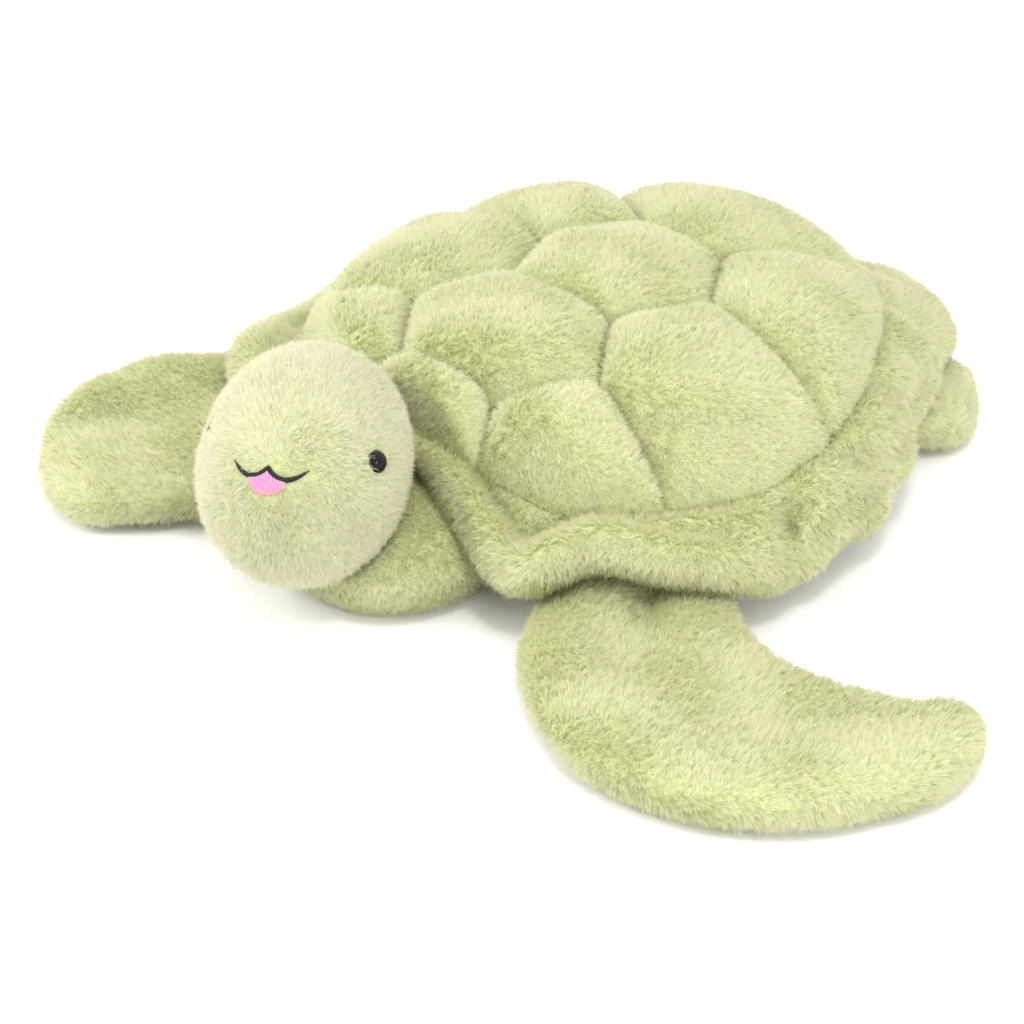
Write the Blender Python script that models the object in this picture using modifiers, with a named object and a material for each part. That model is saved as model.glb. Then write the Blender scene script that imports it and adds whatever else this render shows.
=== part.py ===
"""Plush sea turtle that lies on its belly, as a sewer would take it apart: covers, stuffings, shell pads,
brim, flippers, head, eyes and embroidery. Metres, +Z up, the head towards -Y and the turtle's left side at +X.
The origin is on the ground under the middle of the shell."""

import math

import bmesh
import bpy
import numpy as np
from mathutils import Matrix, Vector
from mathutils.bvhtree import BVHTree

# Fabric and fits
COVER_WALL = 0.0018
LINING_WALL = 0.0015
FIT_GAP = 0.0003
SEAM_GAP = 0.0005
CUT_OVERRUN = 0.010
CAGE_SWELL_SHARE = 1.08
HEAD_CAGE_SHARE = 1.085
HEAD_CAGE_CUTS = 2
MERGE_DISTANCE = 0.00001
GROUND_SPAN = 1.2
RING_COUNT = 16
TURN_STEPS = 20
NECK_STEPS = 20
OUTLINE_POINTS = 360
FRONT_SECTION_COUNT = 8
REAR_SECTION_COUNT = 6
SECTION_SQUARE_SHARE = 0.8
TIP_ROUND_SHARE = 0.70

# Shell dome, on which the pads lie
DOME_HALF_WIDTH = 0.142
DOME_HALF_LENGTH = 0.137
DOME_BASE_HEIGHT = 0.041
DOME_RISE = 0.050
DOME_FOOT_SHARE = 1.10
DOME_FALL_POWER = 3.8
SLUMP_FOOT_SHARE = 0.15
SLUMP_DROP = 0.012
BODY_EDGE_SHARE = 0.985
LINING_DROP = 0.0010

# Shell pads
PAD_EDGE = 0.0025
PAD_CROWN = 0.0070
PAD_BORDER_STEP = 0.030
PAD_ROUND_POWER = 3.0
PAD_TOP_SHARES = (1.0, 0.86, 0.58, 0.28)
PAD_UNDER_SHARES = (1.0, 0.84, 0.50)

# Belly
BELLY_SAG = 0.0005
BELLY_SIDE_HEIGHT = 0.024
BELLY_FLAT_SHARE = 0.74
BELLY_RIM_DROP = 0.0025
# The rings between the flat and the rim: shares of the body's edge and of the side height
BELLY_RING_SHARES = ((0.87, 0.125), (1.0, 0.67))
LINING_RING_SHARES = (1.0, 0.80, 0.45)

# Brim round the shell
BRIM_REACH = 0.040
BRIM_LIP_THICKNESS = 0.012
BRIM_ROOT_THICKNESS = 0.0030
BRIM_ROOT_CLEARANCE = 0.0028
BRIM_GUTTER_DEPTH = 0.006
BRIM_ROOT_DRAW_SHARE = 1 / 8

# Neck, a round stuffed piece that turns in the front of the body
NECK_CENTRE_X = 0.008
NECK_CENTRE_Y = -0.150
NECK_RADIUS = 0.056
NECK_HEIGHT = 0.040
NECK_SIDE_HEIGHT = 0.020
# Its outline above and below its widest ring: shares of the radius, and of the way to the top or underside
NECK_TOP_SHARES = ((0.45, 0.90), (0.78, 0.62), (0.96, 0.25))
NECK_UNDER_SHARES = ((0.96, 0.47), (0.86, 0.85), (0.72, 1.0))

# Head, an egg between a large front ball and a smaller rear one
HEAD_FRONT = Vector((0.006, -0.202, 0.058))
HEAD_FRONT_RADIUS = 0.0450
HEAD_REAR = Vector((-0.0107, -0.182, 0.063))
HEAD_REAR_RADIUS = 0.0415
HEAD_YAW = math.radians(30.6)
HEAD_NOD_MOST = math.radians(15)
HEAD_NOD_STEPS = 3
HEAD_PIVOT = Vector((-0.002, -0.168, 0.048))
NECK_HOLE_RADIUS = 0.014

# Face
EYE_RADIUS = 0.0050
EYE_HEIGHT = 0.0036
EYE_STEM_RADIUS = 0.0017
EYE_STEM_LENGTH = 0.0085
EYE_DOME_STEPS = 5
WASHER_RADIUS = 0.0060
WASHER_THICKNESS = 0.0012
WASHER_GAP = 0.0014
EYE_AZIMUTH = math.radians(75.3)
EYE_ELEVATION = math.radians(26.6)
MOUTH_THREAD = 0.0018
MOUTH_PEAK_ELEVATION = math.radians(36.7)
MOUTH_END_DROP_ANGLE = math.radians(2.4)
MOUTH_HALF_ANGLE = math.radians(27.4)
MOUTH_DIP_ANGLE = math.radians(7.2)
MOUTH_PEAK_POWER = 0.8
MOUTH_POINTS = 15
TONGUE_HALF_ANGLE = math.radians(12)
TONGUE_TOP_ANGLE = math.radians(1.9)
TONGUE_CORNER_ANGLE = math.radians(0.8)
TONGUE_DEPTH_ANGLE = math.radians(5.5)
TONGUE_THICKNESS = 0.0010
TONGUE_COLUMNS = 8
TONGUE_ROWS = 4

# Front flippers
FRONT_OUTWARD_ANGLE = math.radians(41.3)
FRONT_HINGE_ALONG = 0.0035
FRONT_LENGTH = 0.180
FRONT_THICKNESS = 0.027
ROOT_OVERRUN = 0.0040
ROOT_STANDOFF = 0.0010

# Rear flippers
REAR_OUTWARD_ANGLE = math.radians(-43.8)
REAR_HINGE_ALONG = 0.0035
REAR_LENGTH = 0.060
REAR_THICKNESS = 0.026

# Where the seams between the pads meet, as shares of the dome's half width and half length
MIDDLE_SEAM_SHARES = {
    "front": (0.22, -0.825),
    "front_side": (0.43, -0.577),
    "middle_front": (0.24, -0.314),
    "middle_side": (0.387, 0.0),
    "rear": (0.176, 0.30),
}
# Angles from the head, towards the turtle's own side, at which the seams reach the shell's edge, as shares of a
# half turn
LEFT_EDGE_SEAM_SHARES = {"front": 0.095, "front_side": 0.285, "middle_side": 0.48, "rear": 0.82}
RIGHT_EDGE_SEAM_SHARES = {"front": 0.095, "front_side": 0.31, "middle_side": 0.545, "rear": 0.74}

# The corners of each pad in order round it: the side of the turtle (1 is its left), whether the corner lies on
# the shell's edge, and the seam's name
MIDDLE_PAD_CORNERS = (
    ((-1, True, "front"), (1, True, "front"), (1, False, "front"), (-1, False, "front")),
    (
        (1, False, "front"), (1, False, "front_side"), (1, False, "middle_front"),
        (-1, False, "middle_front"), (-1, False, "front_side"), (-1, False, "front"),
    ),
    (
        (1, False, "middle_front"), (1, False, "middle_side"), (1, False, "rear"),
        (-1, False, "rear"), (-1, False, "middle_side"), (-1, False, "middle_front"),
    ),
    ((-1, False, "rear"), (1, False, "rear"), (1, True, "rear"), (-1, True, "rear")),
)
SIDE_PAD_CORNERS = (
    ((1, True, "front"), (1, True, "front_side"), (1, False, "front_side"), (1, False, "front")),
    (
        (1, True, "front_side"), (1, True, "middle_side"), (1, False, "middle_side"),
        (1, False, "middle_front"), (1, False, "front_side"),
    ),
    ((1, True, "middle_side"), (1, True, "rear"), (1, False, "rear"), (1, False, "middle_side")),
)

# The shell's edge in equal steps from the head past the left side, as shares of the dome's ellipse
SHELL_EDGE_SHARES = (
    1.00, 1.03, 1.09, 1.06, 0.995, 0.915, 0.87, 0.89, 0.94, 0.97, 1.00, 1.04, 1.08, 1.11, 1.12, 1.11,
    1.08, 1.03,
)

# The brim's reach, lip height and gutter depth round the shell, in equal steps from the head past the left
# side, as shares of BRIM_REACH, DOME_BASE_HEIGHT and BRIM_GUTTER_DEPTH
BRIM_REACH_SHARES = (
    0.20, 0.25, 0.60, 1.25, 0.75, 0.88, 0.94, 0.82, 0.60, 0.52, 0.54, 0.50, 0.57, 0.68, 0.87, 1.15,
    1.27, 1.25, 1.08, 0.95, 0.85, 0.75, 0.60, 0.50, 0.40, 0.35, 0.30, 0.30, 0.35, 0.40, 0.50, 0.80,
    0.95, 0.80, 0.45, 0.25,
)
BRIM_LIP_SHARES = (
    1.25, 1.20, 0.90, 0.64, 0.92, 0.88, 0.72, 0.52, 0.75, 0.62, 0.85, 0.68, 0.90, 0.78, 0.95, 0.90,
    0.90, 0.85, 0.85, 0.85, 0.90, 0.85, 0.90, 0.80, 0.90, 0.75, 0.85, 0.80, 0.90, 0.90, 1.00, 1.15,
    1.15, 1.05, 1.15, 1.25,
)
BRIM_GUTTER_SHARES = (
    0.20, 0.20, 1.00, 0.80, 0.00, -0.30, 0.30, 1.10, 0.80, 1.20, 0.50, 1.10, 0.60, 1.10, 0.60, 0.60,
    0.60, 0.60, 0.60, 0.60, 0.60, 0.60, 0.60, 0.90, 0.60, 1.10, 0.60, 1.10, 0.60, 0.60, 0.60, 0.60,
    0.60, 0.60, 0.40, 0.20,
)

# Flipper sections from root to tip. Each has the place of its front edge and that of its rear edge, both
# outward and rearward of the hinge as shares of the length, the heights of the two edges, and its depth, the
# last three as shares of the thickness
LEFT_FRONT_SHARES = (
    (0.00, -0.21, 0.00, 0.18, 0.80, 0.80, 0.26),
    (0.180, -0.283, 0.160, 0.167, 0.50, 0.54, 0.78),
    (0.376, -0.328, 0.321, 0.20, 0.50, 0.50, 1.00),
    (0.599, -0.30, 0.432, 0.267, 0.50, 0.50, 1.00),
    (0.806, -0.206, 0.505, 0.356, 0.50, 0.50, 1.00),
    (0.973, -0.011, 0.549, 0.444, 0.50, 0.50, 1.00),
    (1.013, 0.232, 0.582, 0.544, 0.50, 0.50, 0.98),
    (0.943, 0.47, 0.623, 0.622, 0.50, 0.50, 0.82),
)
RIGHT_FRONT_SHARES = (
    (0.00, -0.21, 0.00, 0.18, 0.80, 0.80, 0.26),
    (0.060, -0.36, 0.150, 0.09, 0.54, 0.80, 0.85),
    (0.116, -0.56, 0.288, -0.01, 0.50, 1.05, 1.00),
    (0.244, -0.665, 0.431, -0.018, 0.50, 1.18, 1.00),
    (0.411, -0.665, 0.531, -0.085, 0.50, 1.15, 1.00),
    (0.536, -0.585, 0.593, -0.206, 0.50, 1.00, 0.94),
    (0.614, -0.495, 0.638, -0.328, 0.50, 0.75, 0.76),
)
REAR_SHARES = (
    (0.00, -0.42, 0.00, 0.37, 0.80, 0.80, 0.26),
    (0.42, -0.38, 0.34, 0.55, 0.58, 0.62, 0.90),
    (0.73, -0.22, 0.55, 0.73, 0.52, 0.55, 1.00),
    (0.88, 0.10, 0.67, 0.87, 0.50, 0.52, 0.92),
    (0.88, 0.40, 0.77, 0.83, 0.50, 0.50, 0.62),
)

# Colour and roughness of each material
PLUSH = ((0.74, 0.79, 0.44), 0.9)
PLUSH_PALE = ((0.78, 0.82, 0.50), 0.9)
STUFFING_WHITE = ((0.85, 0.85, 0.82), 0.95)
LINING_CREAM = ((0.80, 0.78, 0.66), 0.9)
GLOSS_BLACK = ((0.012, 0.012, 0.013), 0.08)
WASHER_WHITE = ((0.75, 0.75, 0.73), 0.5)
THREAD_CHARCOAL = ((0.030, 0.032, 0.034), 0.6)
THREAD_PINK = ((0.86, 0.30, 0.47), 0.45)


def clear_scene():
    for obj in list(bpy.data.objects):
        bpy.data.objects.remove(obj, do_unlink=True)
    for name in ("plush_turtle", "plush_turtle_cutters"):
        collection = bpy.data.collections.new(name)
        bpy.context.scene.collection.children.link(collection)
    bpy.data.collections["plush_turtle_cutters"].hide_render = True


def make_material(name, colour, roughness):
    material = bpy.data.materials.new(name)
    material.use_nodes = True
    shader = material.node_tree.nodes["Principled BSDF"]
    shader.inputs["Base Color"].default_value = (*colour, 1)
    shader.inputs["Roughness"].default_value = roughness
    shader.inputs["Metallic"].default_value = 0
    return material


def place(obj, finish):
    """Puts a piece in the turtle's collection with a material of its own."""
    bpy.data.collections["plush_turtle"].objects.link(obj)
    obj.data.materials.clear()
    obj.data.materials.append(make_material(obj.name, *finish))
    return obj


def place_cutter(obj):
    bpy.data.collections["plush_turtle_cutters"].objects.link(obj)
    obj.hide_render = True
    obj.display_type = "WIRE"
    return obj


def object_of(name, bm):
    """The finished mesh as an object, shaded smooth, with its faces pointing out."""
    bmesh.ops.recalc_face_normals(bm, faces=bm.faces)
    mesh = bpy.data.meshes.new(name)
    bm.to_mesh(mesh)
    bm.free()
    mesh.shade_smooth()
    return bpy.data.objects.new(name, mesh)


def loft(rings, closed=False, first_cap=None, last_cap=None):
    """A skin over rings of points; closed joins the last ring to the first, a cap is a point closing an end."""
    bm = bmesh.new()
    rows = [[bm.verts.new(point) for point in ring] for ring in rings]
    pairs = list(zip(rows, rows[1:]))
    if closed:
        pairs.append((rows[-1], rows[0]))
    count = len(rows[0])
    for near, far in pairs:
        for i in range(count):
            j = (i + 1) % count
            bm.faces.new((near[i], near[j], far[j], far[i]))
    for cap, row in ((first_cap, rows[0]), (last_cap, rows[-1])):
        if cap is None:
            continue
        tip = bm.verts.new(cap)
        for i in range(count):
            bm.faces.new((tip, row[i], row[(i + 1) % count]))
    return bm


def subdivide(obj, levels=1):
    modifier = obj.modifiers.new("smooth", "SUBSURF")
    modifier.levels = levels
    modifier.render_levels = levels


def thicken(obj, wall):
    """Gives an open skin its wall, towards its inside."""
    modifier = obj.modifiers.new("wall", "SOLIDIFY")
    modifier.thickness = wall
    modifier.offset = -1


def inset(obj, depth):
    """Moves a closed skin inwards along its normals."""
    modifier = obj.modifiers.new("inset", "DISPLACE")
    modifier.strength = -depth
    modifier.mid_level = 0


def cut(obj, *cutters, folded=False):
    """Takes the cutters out of an object; folded is for a skin that folds over itself, as a narrow root's does."""
    for cutter in cutters:
        modifier = obj.modifiers.new(f"cut by {cutter.name}", "BOOLEAN")
        modifier.operation = "DIFFERENCE"
        modifier.object = cutter
        modifier.use_self = folded


def ellipse_point(angle, share):
    """A point on the dome's ellipse in plan; angle 0 is the head's side, a quarter turn the turtle's left."""
    x = DOME_HALF_WIDTH * share * math.sin(angle)
    y = -DOME_HALF_LENGTH * share * math.cos(angle)
    return x, y


def dome_height(x, y):
    """The dome stays level round its middle and falls off at its foot; its right side has slumped."""
    slump = max(0, -x / DOME_HALF_WIDTH)
    foot = DOME_FOOT_SHARE + SLUMP_FOOT_SHARE * slump
    reach = math.hypot(x / DOME_HALF_WIDTH, y / DOME_HALF_LENGTH) / foot
    return DOME_BASE_HEIGHT + DOME_RISE * (1 - reach**DOME_FALL_POWER) - SLUMP_DROP * slump


def smooth_read(shares, position):
    """Reads a ring of shares between its entries with a smooth curve through them."""
    count = len(shares)
    start = math.floor(position)
    t = position - start
    a, b, c, d = (shares[(start + k) % count] for k in (-1, 0, 1, 2))
    slope_in = (c - a) / 2
    slope_out = (d - b) / 2
    return (
        (2 * t**3 - 3 * t**2 + 1) * b
        + (t**3 - 2 * t**2 + t) * slope_in
        + (3 * t**2 - 2 * t**3) * c
        + (t**3 - t**2) * slope_out
    )


def read_round(shares, angle):
    """Reads a table of equal steps round the shell at an angle."""
    return smooth_read(shares, (angle % (2 * math.pi)) / (2 * math.pi) * len(shares))


def shell_edge_point(angle, share=1.0):
    """A point on the shell's edge in plan, or inside it at a share of the way out."""
    return ellipse_point(angle, share * read_round(SHELL_EDGE_SHARES, angle))


def edge_seam_angle(side, name):
    shares = LEFT_EDGE_SEAM_SHARES if side > 0 else RIGHT_EDGE_SEAM_SHARES
    return side * shares[name] * math.pi


def corner_point(side, on_edge, name):
    if on_edge:
        return shell_edge_point(edge_seam_angle(side, name))
    across, along = MIDDLE_SEAM_SHARES[name]
    return side * across * DOME_HALF_WIDTH, along * DOME_HALF_LENGTH


def line_points(start, end):
    """Points from start up to but not including end, about one border step apart."""
    steps = max(2, round(math.dist(start, end) / PAD_BORDER_STEP))
    return [
        (start[0] + (end[0] - start[0]) * k / steps, start[1] + (end[1] - start[1]) * k / steps)
        for k in range(steps)
    ]


def edge_points(start_angle, end_angle):
    """Points along the shell's edge from one angle up to but not including another, the short way round."""
    turn = (end_angle - start_angle + math.pi) % (2 * math.pi) - math.pi
    steps = max(2, round(abs(turn) * (DOME_HALF_WIDTH + DOME_HALF_LENGTH) / 2 / PAD_BORDER_STEP))
    return [shell_edge_point(start_angle + turn * k / steps) for k in range(steps)]


def border_of(corners):
    """A pad's border in plan: along the shell's edge between two corners on it, straight between any others."""
    border = []
    for start, end in zip(corners, corners[1:] + corners[:1]):
        if start[1] and end[1]:
            border += edge_points(edge_seam_angle(start[0], start[2]), edge_seam_angle(end[0], end[2]))
        else:
            border += line_points(corner_point(*start), corner_point(*end))
    return border


def make_pads():
    """Four pads down the middle and three on each side, as on a turtle's shell."""
    for index, corners in enumerate(MIDDLE_PAD_CORNERS):
        make_pad(f"vertebral_scute_{index + 1}", border_of(corners))
    for side, prefix in ((1, "left"), (-1, "right")):
        for index, corners in enumerate(SIDE_PAD_CORNERS):
            own = tuple((side, on_edge, name) for _, on_edge, name in corners)
            make_pad(f"{prefix}_costal_scute_{index + 1}", border_of(own))


def make_pad(name, border):
    """A crowned pad on the dome: rings drawn in from its border, over and under, that meet at its edge."""
    centre = np.mean(border, axis=0)

    def ring(share, over):
        points = []
        for x, y in border:
            reach = math.hypot(x - centre[0], y - centre[1])
            drawn = share * (1 - SEAM_GAP / reach)
            px = centre[0] + (x - centre[0]) * drawn
            py = centre[1] + (y - centre[1]) * drawn
            rise = PAD_EDGE + PAD_CROWN * (1 - share**PAD_ROUND_POWER) if over else 0
            points.append((px, py, dome_height(px, py) + FIT_GAP + rise))
        return points

    rings = [ring(share, False) for share in reversed(PAD_UNDER_SHARES)]
    rings += [ring(share, True) for share in PAD_TOP_SHARES]
    floor = dome_height(*centre) + FIT_GAP
    bm = loft(
        rings,
        first_cap=(*centre, floor),
        last_cap=(*centre, floor + PAD_EDGE + PAD_CROWN),
    )
    return place(object_of(name, bm), PLUSH)


def plan_ring(share, height):
    """A ring inside the body's edge; height is a value or a function of x and y."""
    # Smoothing draws a ring in by a quarter of the way to the chord, which this takes back.
    swell = 1 / (3 / 4 + math.cos(2 * math.pi / RING_COUNT) / 4)
    points = []
    for i in range(RING_COUNT):
        x, y = shell_edge_point(2 * math.pi * i / RING_COUNT, share * BODY_EDGE_SHARE)
        points.append((x * swell, y * swell, height(x, y) if callable(height) else height))
    return points


def under_dome(x, y):
    return dome_height(x, y) - LINING_DROP


def belly_rim(x, y):
    return under_dome(x, y) - BELLY_RIM_DROP


def belly_rings():
    """From the belly's flat middle round its side up to the seam with the shell."""
    return [
        plan_ring(BELLY_FLAT_SHARE, -BELLY_SAG),
        *(plan_ring(share, BELLY_SIDE_HEIGHT * height) for share, height in BELLY_RING_SHARES),
        plan_ring(1, lambda x, y: (BELLY_SIDE_HEIGHT + belly_rim(x, y)) / 2),
        plan_ring(1, belly_rim),
    ]


def dome_rings():
    return [plan_ring(share, under_dome) for share in LINING_RING_SHARES]


def whole_body(name):
    """The body's outer form, closed over the top by the dome that the pads lie on."""
    ends = {"first_cap": (0, 0, -BELLY_SAG), "last_cap": (0, 0, under_dome(0, 0))}
    form = object_of(name, loft(belly_rings()[:-1] + dome_rings(), **ends))
    subdivide(form)
    return form


def make_body(floor_cutter, neck_cutter):
    bottom = (0, 0, -BELLY_SAG)
    top = (0, 0, under_dome(0, 0))
    cover = place(object_of("body_cover", loft(belly_rings(), first_cap=bottom)), PLUSH)
    subdivide(cover)
    thicken(cover, COVER_WALL)
    cut(cover, floor_cutter, neck_cutter)
    lining = place(object_of("shell_lining", loft(dome_rings(), last_cap=top)), LINING_CREAM)
    subdivide(lining)
    thicken(lining, LINING_WALL)
    filling = place(whole_body("body_filling"), STUFFING_WHITE)
    inset(filling, COVER_WALL + 2 * FIT_GAP)
    cut(filling, neck_cutter)


def make_body_clearance():
    """The body's outside, grown by the fit gap, which ends each flipper at its seam."""
    clearance = place_cutter(whole_body("body_clearance"))
    inset(clearance, -FIT_GAP)
    return clearance


def brim_section(angle):
    """One cross section of the brim: a thin root at the shell's edge, a gutter, and a thick rounded lip."""
    root_x, root_y = shell_edge_point(angle)
    out = Vector((root_x / DOME_HALF_WIDTH**2, root_y / DOME_HALF_LENGTH**2)).normalized()
    root_bottom = dome_height(root_x, root_y) + FIT_GAP
    root_top = root_bottom + BRIM_ROOT_THICKNESS
    reach = BRIM_REACH * read_round(BRIM_REACH_SHARES, angle)
    lip_height = DOME_BASE_HEIGHT * read_round(BRIM_LIP_SHARES, angle)
    gutter = BRIM_GUTTER_DEPTH * read_round(BRIM_GUTTER_SHARES, angle)
    middle_height = (root_bottom + lip_height) / 2 - gutter
    half_lip = BRIM_LIP_THICKNESS / 2
    # Smoothing draws the root out by an eighth of the way to the next point, which this takes back.
    root = (BRIM_ROOT_CLEARANCE - BRIM_ROOT_DRAW_SHARE * reach / 2) / (1 - BRIM_ROOT_DRAW_SHARE)
    profile = (
        (root, root_top),
        (reach / 2, middle_height + half_lip / 2),
        (reach - half_lip, lip_height + half_lip),
        (reach + half_lip / 2, lip_height),
        (reach - half_lip, lip_height - half_lip),
        (reach / 2, middle_height - half_lip / 2),
        (root, root_bottom),
    )
    return [(root_x + out.x * offset, root_y + out.y * offset, height) for offset, height in profile]


def make_brim(head_clearance):
    count = len(BRIM_REACH_SHARES)
    rings = [brim_section(2 * math.pi * i / count) for i in range(count)]
    brim = place(object_of("shell_brim", loft(rings, closed=True)), PLUSH)
    subdivide(brim)
    cut(brim, head_clearance)


def turned(name, profile, centre_x, centre_y, steps, ring=False):
    """A solid turned round an upright axis; its profile runs down the outer side, and a ring's is closed."""
    bm = bmesh.new()
    points = [bm.verts.new((radius, 0, height)) for radius, height in profile]
    ends = points[1:] + points[:1] if ring else points[1:]
    for a, b in zip(points, ends):
        bm.edges.new((a, b))
    mesh = bpy.data.meshes.new(name)
    bm.to_mesh(mesh)
    bm.free()
    obj = bpy.data.objects.new(name, mesh)
    obj.location = (centre_x, centre_y, 0)
    screw = obj.modifiers.new("turn", "SCREW")
    screw.axis = "Z"
    screw.angle = 2 * math.pi
    screw.steps = steps
    screw.render_steps = steps
    screw.use_merge_vertices = True
    screw.merge_threshold = MERGE_DISTANCE
    return obj


def neck_profile(grow, widen):
    """The neck's outline from its top middle down its side to its flat underside, grown outwards by grow and
    with its radii widened by a share."""
    radius = (NECK_RADIUS + grow) * widen
    rise = NECK_HEIGHT + grow - NECK_SIDE_HEIGHT
    fall = NECK_SIDE_HEIGHT + BELLY_SAG + grow
    over = [(radius * out, NECK_SIDE_HEIGHT + rise * share) for out, share in NECK_TOP_SHARES]
    under = [(radius * out, NECK_SIDE_HEIGHT - fall * share) for out, share in NECK_UNDER_SHARES]
    top = (0, NECK_SIDE_HEIGHT + rise)
    bottom = (0, NECK_SIDE_HEIGHT - fall)
    return [top, *over, (radius, NECK_SIDE_HEIGHT), *under, bottom]


def turned_neck(name, grow, widen=1):
    return turned(name, neck_profile(grow, widen), NECK_CENTRE_X, NECK_CENTRE_Y, NECK_STEPS)


def make_neck_clearance():
    """The room in which the neck turns: its flats are as far out as the neck's corners."""
    return place_cutter(turned_neck("neck_clearance", FIT_GAP, 1 / math.cos(math.pi / NECK_STEPS)))


def head_point(direction, grow=0):
    """The egg's surface: a ball that slides from the front centre to the rear one as the way out turns back."""
    axis = (HEAD_FRONT - HEAD_REAR).normalized()
    back = (1 - direction.dot(axis)) / 2
    share = back * back * (3 - 2 * back)
    centre = HEAD_FRONT.lerp(HEAD_REAR, share)
    radius = HEAD_FRONT_RADIUS + (HEAD_REAR_RADIUS - HEAD_FRONT_RADIUS) * share
    return centre + direction * (radius + grow)


def head_cage(grow=0):
    """A cube with its faces cut into squares, swelled into the egg."""
    bm = bmesh.new()
    bmesh.ops.create_cube(bm, size=1)
    bmesh.ops.subdivide_edges(bm, edges=bm.edges, cuts=HEAD_CAGE_CUTS, use_grid_fill=True)
    centre = (HEAD_FRONT + HEAD_REAR) / 2
    for vertex in bm.verts:
        point = head_point(vertex.co.normalized(), grow)
        vertex.co = centre + (point - centre) * HEAD_CAGE_SHARE
    return bm


def nod_matrix(angle):
    """The head's nod about the sideways line through its pivot, nose up for a positive angle."""
    axis = Vector((-math.cos(HEAD_YAW), -math.sin(HEAD_YAW), 0))
    return Matrix.Translation(HEAD_PIVOT) @ Matrix.Rotation(angle, 4, axis) @ Matrix.Translation(-HEAD_PIVOT)


def make_head_cutters():
    """The head's own form at steps of its nod, grown by the fit gap, which hollow the neck's top."""
    cutters = []
    for step in range(HEAD_NOD_STEPS + 1):
        angle = HEAD_NOD_MOST * step / HEAD_NOD_STEPS
        cutter = place_cutter(object_of(f"head_clearance_{step}", head_cage(2 * FIT_GAP)))
        cutter.data.transform(nod_matrix(angle))
        subdivide(cutter)
        cutters.append(cutter)
    return cutters


def make_neck(floor_cutter, head_cutters):
    cover = place(turned_neck("neck_cover", 0), PLUSH)
    cover.modifiers["turn"].use_smooth_shade = True
    hollow = place_cutter(turned_neck("neck_hollow", -COVER_WALL))
    cut(cover, hollow, floor_cutter, *head_cutters)
    filling = place(turned_neck("neck_filling", -COVER_WALL - FIT_GAP), STUFFING_WHITE)
    cut(filling, *head_cutters)
    return [cover, filling]


def face_direction(azimuth, elevation):
    """A direction from the head's front ball; azimuth is measured from the middle of the face to its left."""
    turn = HEAD_YAW + azimuth
    flat = math.cos(elevation)
    return Vector((math.sin(turn) * flat, -math.cos(turn) * flat, math.sin(elevation)))


def surface_hit(tree, azimuth, elevation):
    """Where a line out of the front ball's centre meets the head's cover, and the cover's normal there."""
    direction = face_direction(azimuth, elevation)
    start = HEAD_FRONT + direction * 2 * HEAD_FRONT_RADIUS
    point, normal, _, _ = tree.ray_cast(start, -direction)
    return point, normal


def along_normal(obj, point, normal):
    obj.matrix_world = Matrix.Translation(point) @ normal.to_track_quat("Z", "Y").to_matrix().to_4x4()
    return obj


def eye_profile():
    """From the top of the dome down its round side, then in to the stem and down to its end."""
    dome = [
        (
            EYE_RADIUS * math.sin(math.pi / 2 * k / EYE_DOME_STEPS),
            EYE_HEIGHT * math.cos(math.pi / 2 * k / EYE_DOME_STEPS),
        )
        for k in range(EYE_DOME_STEPS + 1)
    ]
    return dome + [(EYE_STEM_RADIUS, 0), (EYE_STEM_RADIUS, -EYE_STEM_LENGTH), (0, -EYE_STEM_LENGTH)]


def washer_profile(grow):
    top = -COVER_WALL - WASHER_GAP + grow
    bottom = top - WASHER_THICKNESS - 2 * grow
    bore = EYE_STEM_RADIUS + FIT_GAP
    outer = WASHER_RADIUS + grow
    return top, bottom, bore, outer


def make_washer(name):
    """A flat ring that grips the eye's stem behind the cover."""
    top, bottom, bore, outer = washer_profile(0)
    profile = [(outer, top), (outer, bottom), (bore, bottom), (bore, top)]
    return turned(name, profile, 0, 0, TURN_STEPS, ring=True)


def make_eye_pocket(name):
    """The room that an eye's stem and washer take in the stuffing."""
    top, bottom, _, outer = washer_profile(FIT_GAP)
    stem = EYE_STEM_RADIUS + FIT_GAP
    low = -EYE_STEM_LENGTH - FIT_GAP
    profile = [(0, EYE_HEIGHT), (outer, EYE_HEIGHT), (outer, bottom), (stem, bottom), (stem, low), (0, low)]
    return turned(name, profile, 0, 0, TURN_STEPS)


def make_stem_hole(name):
    stem = EYE_STEM_RADIUS + FIT_GAP
    top, bottom = CUT_OVERRUN, -CUT_OVERRUN
    return turned(name, [(0, top), (stem, top), (stem, bottom), (0, bottom)], 0, 0, TURN_STEPS)


def mouth_angles(share):
    """Azimuth and elevation along the smile from -1 at its right end to 1: a peak between two dips."""
    dip = MOUTH_DIP_ANGLE * math.sin(math.pi * abs(share) ** MOUTH_PEAK_POWER)
    return MOUTH_HALF_ANGLE * share, MOUTH_PEAK_ELEVATION - MOUTH_END_DROP_ANGLE * share**2 - dip


def make_mouth_line(tree):
    """The embroidered smile, a raised cord of stitches on the cover."""
    curve = bpy.data.curves.new("mouth_line", "CURVE")
    curve.dimensions = "3D"
    curve.bevel_depth = MOUTH_THREAD / 2
    curve.bevel_resolution = 1
    curve.use_fill_caps = True
    spline = curve.splines.new("POLY")
    spline.points.add(MOUTH_POINTS - 1)
    for i in range(MOUTH_POINTS):
        point, normal = surface_hit(tree, *mouth_angles(2 * i / (MOUTH_POINTS - 1) - 1))
        spline.points[i].co = (*(point + normal * (MOUTH_THREAD / 2 + FIT_GAP)), 1)
    return place(bpy.data.objects.new("mouth_line", curve), THREAD_CHARCOAL)


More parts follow.
